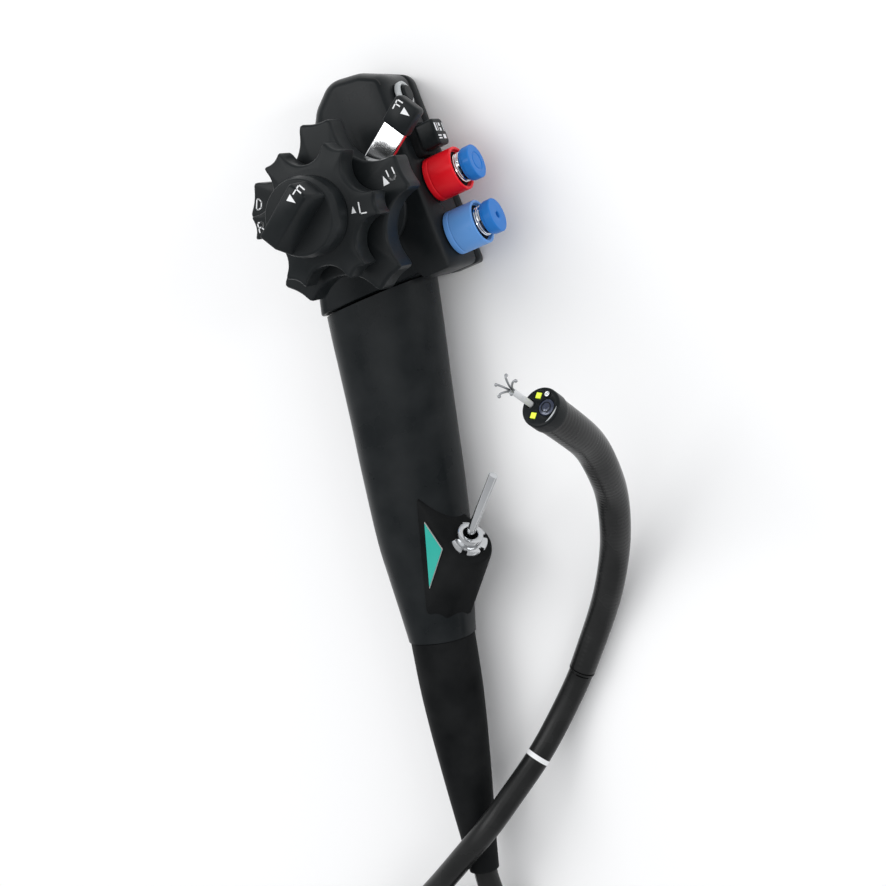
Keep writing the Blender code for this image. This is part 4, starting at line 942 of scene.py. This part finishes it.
def label_rim():
    """The thin pale edge around the bare label."""
    plate = frame["nodes"]["port_label"]
    face = max(plate.data.polygons, key=lambda polygon: polygon.area)
    normal = (plate.matrix_world.to_3x3() @ face.normal).normalized()
    normal = normal if normal.z > 0 else -normal
    points = [plate.matrix_world @ vert.co / MM for vert in plate.data.vertices]
    low = min(point.dot(normal) for point in points)
    corners = []
    for point in points:
        foot = point - normal * (point.dot(normal) - low)
        if all((foot - corner).length > 0.5 for corner in corners):
            corners.append(foot)
    middle = sum(corners, Vector()) / len(corners)
    outer = [middle + (corner - middle) * LABEL_EDGE for corner in corners]
    rings = [[point + normal * height for point in outer] for height in (-0.1, 0.3)]
    piece("label_rim", skin(rings), "root", RIM_LOOK)


# Bending section and tip

def bend_line():
    """The hinge points of the bending section, and a point on its axis at each end."""
    bends = [j for j in frame["joints"] if "_bend_" in j["name"]]
    order = {j["child"]: j for j in bends}
    chain = [order[f"link_{i + 1}"] for i in range(len(bends) - 1)] + [order["tip"]]
    points = [Vector(j["pos_m"]) / MM for j in chain]
    axis = Vector(next(j["axis"] for j in frame["joints"] if j["child"] == "forceps_end"))
    return [Vector(BEND_START)] + points + [points[-1] + axis.normalized() * TIP_LONG]


def cover_radius(s, whole):
    ridge = 0.5 - 0.5 * cos(2 * pi * s / RIB_PITCH)
    return COVER_R0 + (COVER_R1 - COVER_R0) * min(s / whole, 1.0) - RIB + RIB * ridge


def bend_sleeves():
    """The ribbed rubber over the links, in sleeves: a straight one at each end, and between them one curved across
    each hinge.
    """
    line = bend_line()
    mids = [a.lerp(b, 0.5) for a, b in zip(line, line[1:])]
    mids[0] = line[1] + (line[0] - line[1]).normalized() * BEND_PITCH / 2
    mids[-1] = line[-2] + (line[-1] - line[-2]).normalized() * BEND_PITCH / 2
    end = line[-2] + (line[-1] - line[-2]).normalized() * (TIP_LONG - CAP_LONG - 0.1)
    start = line[0] + (line[1] - line[0]).normalized() * GAP
    runs = [("root", None, [start, mids[0]])]
    bodies = ["root"] + [f"link_{i + 1}" for i in range(len(line) - 3)] + ["tip"]
    for i, hinge in enumerate(line[1:-1]):
        a, b = mids[i], mids[i + 1]
        curve = [a * (1 - t) ** 2 + hinge * 2 * t * (1 - t) + b * t * t
                 for t in (k / SLEEVE_STEPS for k in range(SLEEVE_STEPS + 1))]
        runs.append((bodies[i], bodies[i + 1], curve))
    runs.append(("tip", None, [mids[-1], end]))
    whole = BEND_LEAD + (len(line) - 3) * BEND_PITCH + TIP_LONG - CAP_LONG
    along = 0.0
    normal = Vector((0, 0, 1))
    for i, (a, b, curve) in enumerate(runs):
        if b is None:
            count = ceil((curve[1] - curve[0]).length / SLEEVE_RING)
            curve = [curve[0].lerp(curve[1], k / count) for k in range(count + 1)]
        rings = []
        for k, point in enumerate(curve):
            heading = (curve[min(k + 1, len(curve) - 1)] - curve[max(k - 1, 0)]).normalized()
            normal = (normal - heading * normal.dot(heading)).normalized()
            side = heading.cross(normal)
            if k:
                along += (point - curve[k - 1]).length
            r = cover_radius(along, whole)
            rings.append([point + (normal * cos(t) + side * sin(t)) * r
                          for t in (2 * pi * n / SLEEVE_SIDES for n in range(SLEEVE_SIDES))])
        covers = ("bend_cover",) if i == 0 else ()
        body = a if b is None else None
        made = piece(f"bend_sleeve_{i}", skin(rings, caps=False), body, SLEEVE_LOOK, covers, sharp=60)
        if b is not None:
            hinge = line[i]
            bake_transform(made)


def tip_frame():
    """The frame on the tip's face: X out of it, Z to its up side."""
    line = bend_line()
    x = (line[-1] - line[-2]).normalized()
    up = next(Vector(j["axis"]) for j in frame["joints"] if j["name"] == "rl_bend_4")
    y = up.cross(x).normalized()
    made = Matrix((x, y, x.cross(y))).transposed().to_4x4()
    made.translation = line[-1]
    return made


def along_x(mesh):
    return moved(mesh, Matrix.Rotation(radians(90), 4, "Y"))


def square(x, y, z, half):
    """The corners of a square on the tip's face."""
    return [Vector((x, y + sy * half, z + sz * half)) for sy, sz in QUAD]


def turned(profile, sides, at, close=False):
    """A turned shape that stands out of the tip's face."""
    return moved(along_x(lathe(profile, sides, close=close)), shift(0, *at))


def tip_cap(face):
    """The cap, with pockets for the channel, the lens, the nozzle and the lamps."""
    shell = soft_profile(((TIP_R - 0.35, -CAP_LONG), (TIP_R - 0.05, -CAP_LONG + 0.2),
                          (TIP_R, -CAP_LONG + 1.0), (TIP_R, 0.0), (0.01, 0.0)), 0.8, 6)
    cap = piece("tip_cap", along_x(lathe(shell, 96)), "tip", "housing_black", ("distal_cap",), face)
    cutters = [turned(((r, -depth), (r, 1.0)), 48, at) for r, at, depth in
               ((CHANNEL_R, CHANNEL_AT, 5.0), (LENS_R, LENS_AT, 2.0), (NOZZLE_R + 0.2, NOZZLE_AT, 2.0))]
    half = LED_SIDE / 2 + 0.15
    cutters += [skin([square(x, y, z, half) for x in (-1.0, 1.0)]) for y, z in LED_AT]
    knife = piece("tip_pockets", join(*cutters), "tip", "housing_black", (), face)
    bore = cap.modifiers.new("pockets", "BOOLEAN")
    bore.operation = "DIFFERENCE"
    bore.object = knife
    bpy.context.view_layer.update()
    cut = bpy.data.meshes.new_from_object(cap.evaluated_get(bpy.context.evaluated_depsgraph_get()))
    cap.modifiers.clear()
    cap.data = cut
    bpy.data.objects.remove(knife)


def tip():
    face = tip_frame()
    tip_cap(face)
    lens = soft_profile(((LENS_R - 0.05, -1.6), (LENS_R - 0.05, -0.25), (LENS_R - 0.5, 0.0), (1.7, 0.05),
                         (0.9, 0.22), (0.01, 0.28)), 0.3, 4)
    piece("lens_dome", turned(lens, 64, LENS_AT), "tip", "lens_glass", ("objective_lens",), face)
    rim = soft_profile(((1.75, 0.0), (1.75, 0.16), (1.45, 0.22), (1.45, 0.0)), 0.05, 2, True)
    piece("lens_rim", turned(rim, 48, LENS_AT, close=True), "tip", "knob_black", (), face)
    for i, (y, z) in enumerate(LED_AT):
        rings = [square(x, y, z, LED_SIDE / 2 - 0.05 - less)
                 for less, x in ((0.0, -0.8), (0.0, -0.05), (0.12, 0.06))]
        piece(f"lamp_{i + 1}", skin(rings), "tip", "lamp_yellow", (f"led_window_{i + 1}",), face)
    nozzle = soft_profile(((NOZZLE_R, -1.8), (NOZZLE_R, 0.8), (0.35, 0.8), (0.35, 0.2), (0.01, 0.2)), 0.3, 4)
    piece("nozzle", turned(nozzle, 40, NOZZLE_AT), "tip", "chrome", ("air_water_nozzle",), face)
    seat = soft_profile(((CHANNEL_R + 0.28, -0.4), (CHANNEL_R + 0.28, 0.08), (CHANNEL_R, 0.08),
                         (CHANNEL_R, -0.4)), 0.08, 3, True)
    piece("channel_lip", turned(seat, 48, CHANNEL_AT, close=True), "tip", "knob_black", (), face)
    cap_highlight_crescent(face)
    grasper(face)


def cap_highlight_crescent(face):
    """A painted highlight: a pale crescent on the cap's face beside the lens, where light catches its rounded rim.
    """
    radius = 5.9
    ring = [(radians(128.0 + 62.0 * k / 16), 0.55 * sin(pi * k / 16) + 0.02) for k in range(17)]
    outer = [Vector((0.03, radius * cos(a), radius * sin(a))) for a, _ in ring]
    inner = [Vector((0.03, (radius - w) * cos(a), (radius - w) * sin(a))) for a, w in reversed(ring)]
    outline = outer + inner
    # A thin grey sheet just off the face: painted highlight, not a lip.
    piece("cap_edge_highlight", skin([outline, [p + Vector((0.04, 0, 0)) for p in outline]]), "tip", "grey", (), face)


def grasper(face):
    """The grasping forceps: a shaft out of the channel and hooked prongs that spread from it."""
    at = Vector((0, *CHANNEL_AT))
    rings = [[at + Vector((x, r * cos(a), r * sin(a))) for a in (2 * pi * k / 32 for k in range(32))]
             for x, r in ((-12.0, FORCEPS_R), (FORCEPS_OUT - 0.6, FORCEPS_R),
                          (FORCEPS_OUT - 0.2, FORCEPS_R - 0.1), (FORCEPS_OUT, FORCEPS_R - 0.35))]
    shaft = piece("grasping_forceps", skin(rings), "forceps_end", SHEATH_LOOK, ("forceps_tip",), face)
    meshes = []
    for k in range(PRONGS):
        spin = Matrix.Rotation(2 * pi * k / PRONGS, 4, "X")
        points = [spin @ Vector((FORCEPS_OUT + x, y, 0)) + at for x, y in PRONG_LINE]
        meshes.append(sweep(smooth_points(points, 6), PRONG_R, 12))
        claw = bmesh.new()
        bmesh.ops.create_icosphere(claw, subdivisions=2, radius=CLAW_R, matrix=Matrix.Translation(points[-1]))
        meshes.append(claw)
    prongs = piece("forceps_prongs", join(*meshes), "forceps_end", PRONG_LOOK, (), face)


# Marks: direction letters in plain strokes, each on a grid four wide and six tall

ARC_STEPS = 8


def arc(x, y, radius, start, end):
    turns = [radians(start + (end - start) * k / ARC_STEPS) for k in range(ARC_STEPS + 1)]
    return [(x + radius * cos(a), y + radius * sin(a)) for a in turns]


LETTERS = {
    "U": [[(0, 6)] + arc(2, 2, 2, 180, 360) + [(4, 6)]],
    "D": [[(0.5, 0), (0.5, 6), (2.0, 6), (3.6, 4.6), (3.6, 1.4), (2.0, 0), (0.5, 0)]],
    "L": [[(0, 6), (0, 0), (3.6, 0)]],
    "R": [[(0, 0), (0, 6)] + arc(2.2, 4.4, 1.6, 90, -90) + [(0, 2.8)], [(2.2, 2.8), (4, 0)]],
    "F": [[(0, 0), (0, 6), (3.8, 6)], [(0, 3.2), (3.2, 3.2)]],
}
LETTER_TALL = 3.6
STROKE = 0.22
MARK_PROUD = 0.05
MARK_SUNK = -0.1


def letter(name, sign, body, place, tall=LETTER_TALL):
    """One letter, centred on its place and standing just proud of the face."""
    scale = tall / 6.0
    strips = []
    for line in LETTERS[sign]:
        points = [Vector(((x - 2) * scale, (y - 3) * scale)) for x, y in line]
        for a, b in zip(points, points[1:]):
            along = (b - a).normalized() * STROKE
            side = Vector((-along.y, along.x))
            outline = [a - along - side, b + along - side, b + along + side, a - along + side]
            strips.append(slab(outline, MARK_SUNK, MARK_PROUD))
    piece(name, join(*strips), body, PRINT, (), place)


def triangle(name, body, place, size=2.3):
    outline = [Vector((-size * 0.38, -size / 2)), Vector((size * 0.38, -size / 2)), Vector((0, size / 2))]
    piece(name, slab(outline, MARK_SUNK, MARK_PROUD), body, PRINT, (), place)


def on_disc(radius, degrees, z, turn):
    """A place at an angle from the head's own axis, turned about Z."""
    a = radians(degrees)
    return HEAD @ shift(radius * cos(a), radius * sin(a), z) @ turn_z(turn)


def marks():
    ud_top = UD_WHEEL_Z + UD_WHEEL_H
    rl_top = RL_WHEEL_Z + RL_WHEEL_H
    letter("mark_u", "U", "ud_knob", on_disc(27.0, 6.9, ud_top, 3.0))
    triangle("mark_up", "ud_knob", on_disc(23.9, 5.6, ud_top, 3.0), 3.2)
    letter("mark_d", "D", "ud_knob", on_disc(28.0, 151.7, ud_top, -27.0))
    letter("mark_l", "L", "rl_knob", on_disc(18.8, -13.6, rl_top + 0.2, -12.0))
    triangle("mark_left", "rl_knob", on_disc(15.4, -14.5, rl_top + 0.45, -12.0))
    letter("mark_r", "R", "rl_knob", on_disc(20.7, 168.7, rl_top + 0.05, -8.0), 3.2)
    bar_top = LOCK_Z + LOCK_H + BAR_H
    letter("mark_f", "F", "rl_lock", on_disc(11.57, 29.1, bar_top, -60.0))
    triangle("mark_free", "rl_lock", on_disc(7.83, 31.8, bar_top, -146.0), 3.2)
    tab_top = LEVER_Z + LEVER_THICK / 2 + TAB_H / 2
    letter("mark_tab_f", "F", "ud_lock", on_disc(41.7, 36.2, tab_top, -54.0), 3.3)
    triangle("mark_tab", "ud_lock", on_disc(41.2, 30.8, tab_top, -148.0), 3.3)


def build():
    camera()
    studio()
    dress_frame()
    insertion_tube(boot())
    head_shells()
    hand_wheels()
    lock_knob()
    lock_lever()
    brake()
    valve("suction", "suction_button", SUCTION_H, "red")
    valve("air_water", "air_water_button", AIR_H, "pale_blue")
    switches()
    grip()
    port()
    bend_sleeves()
    tip()
    marks()


build()
bpy.context.scene.view_settings.view_transform = "Standard"
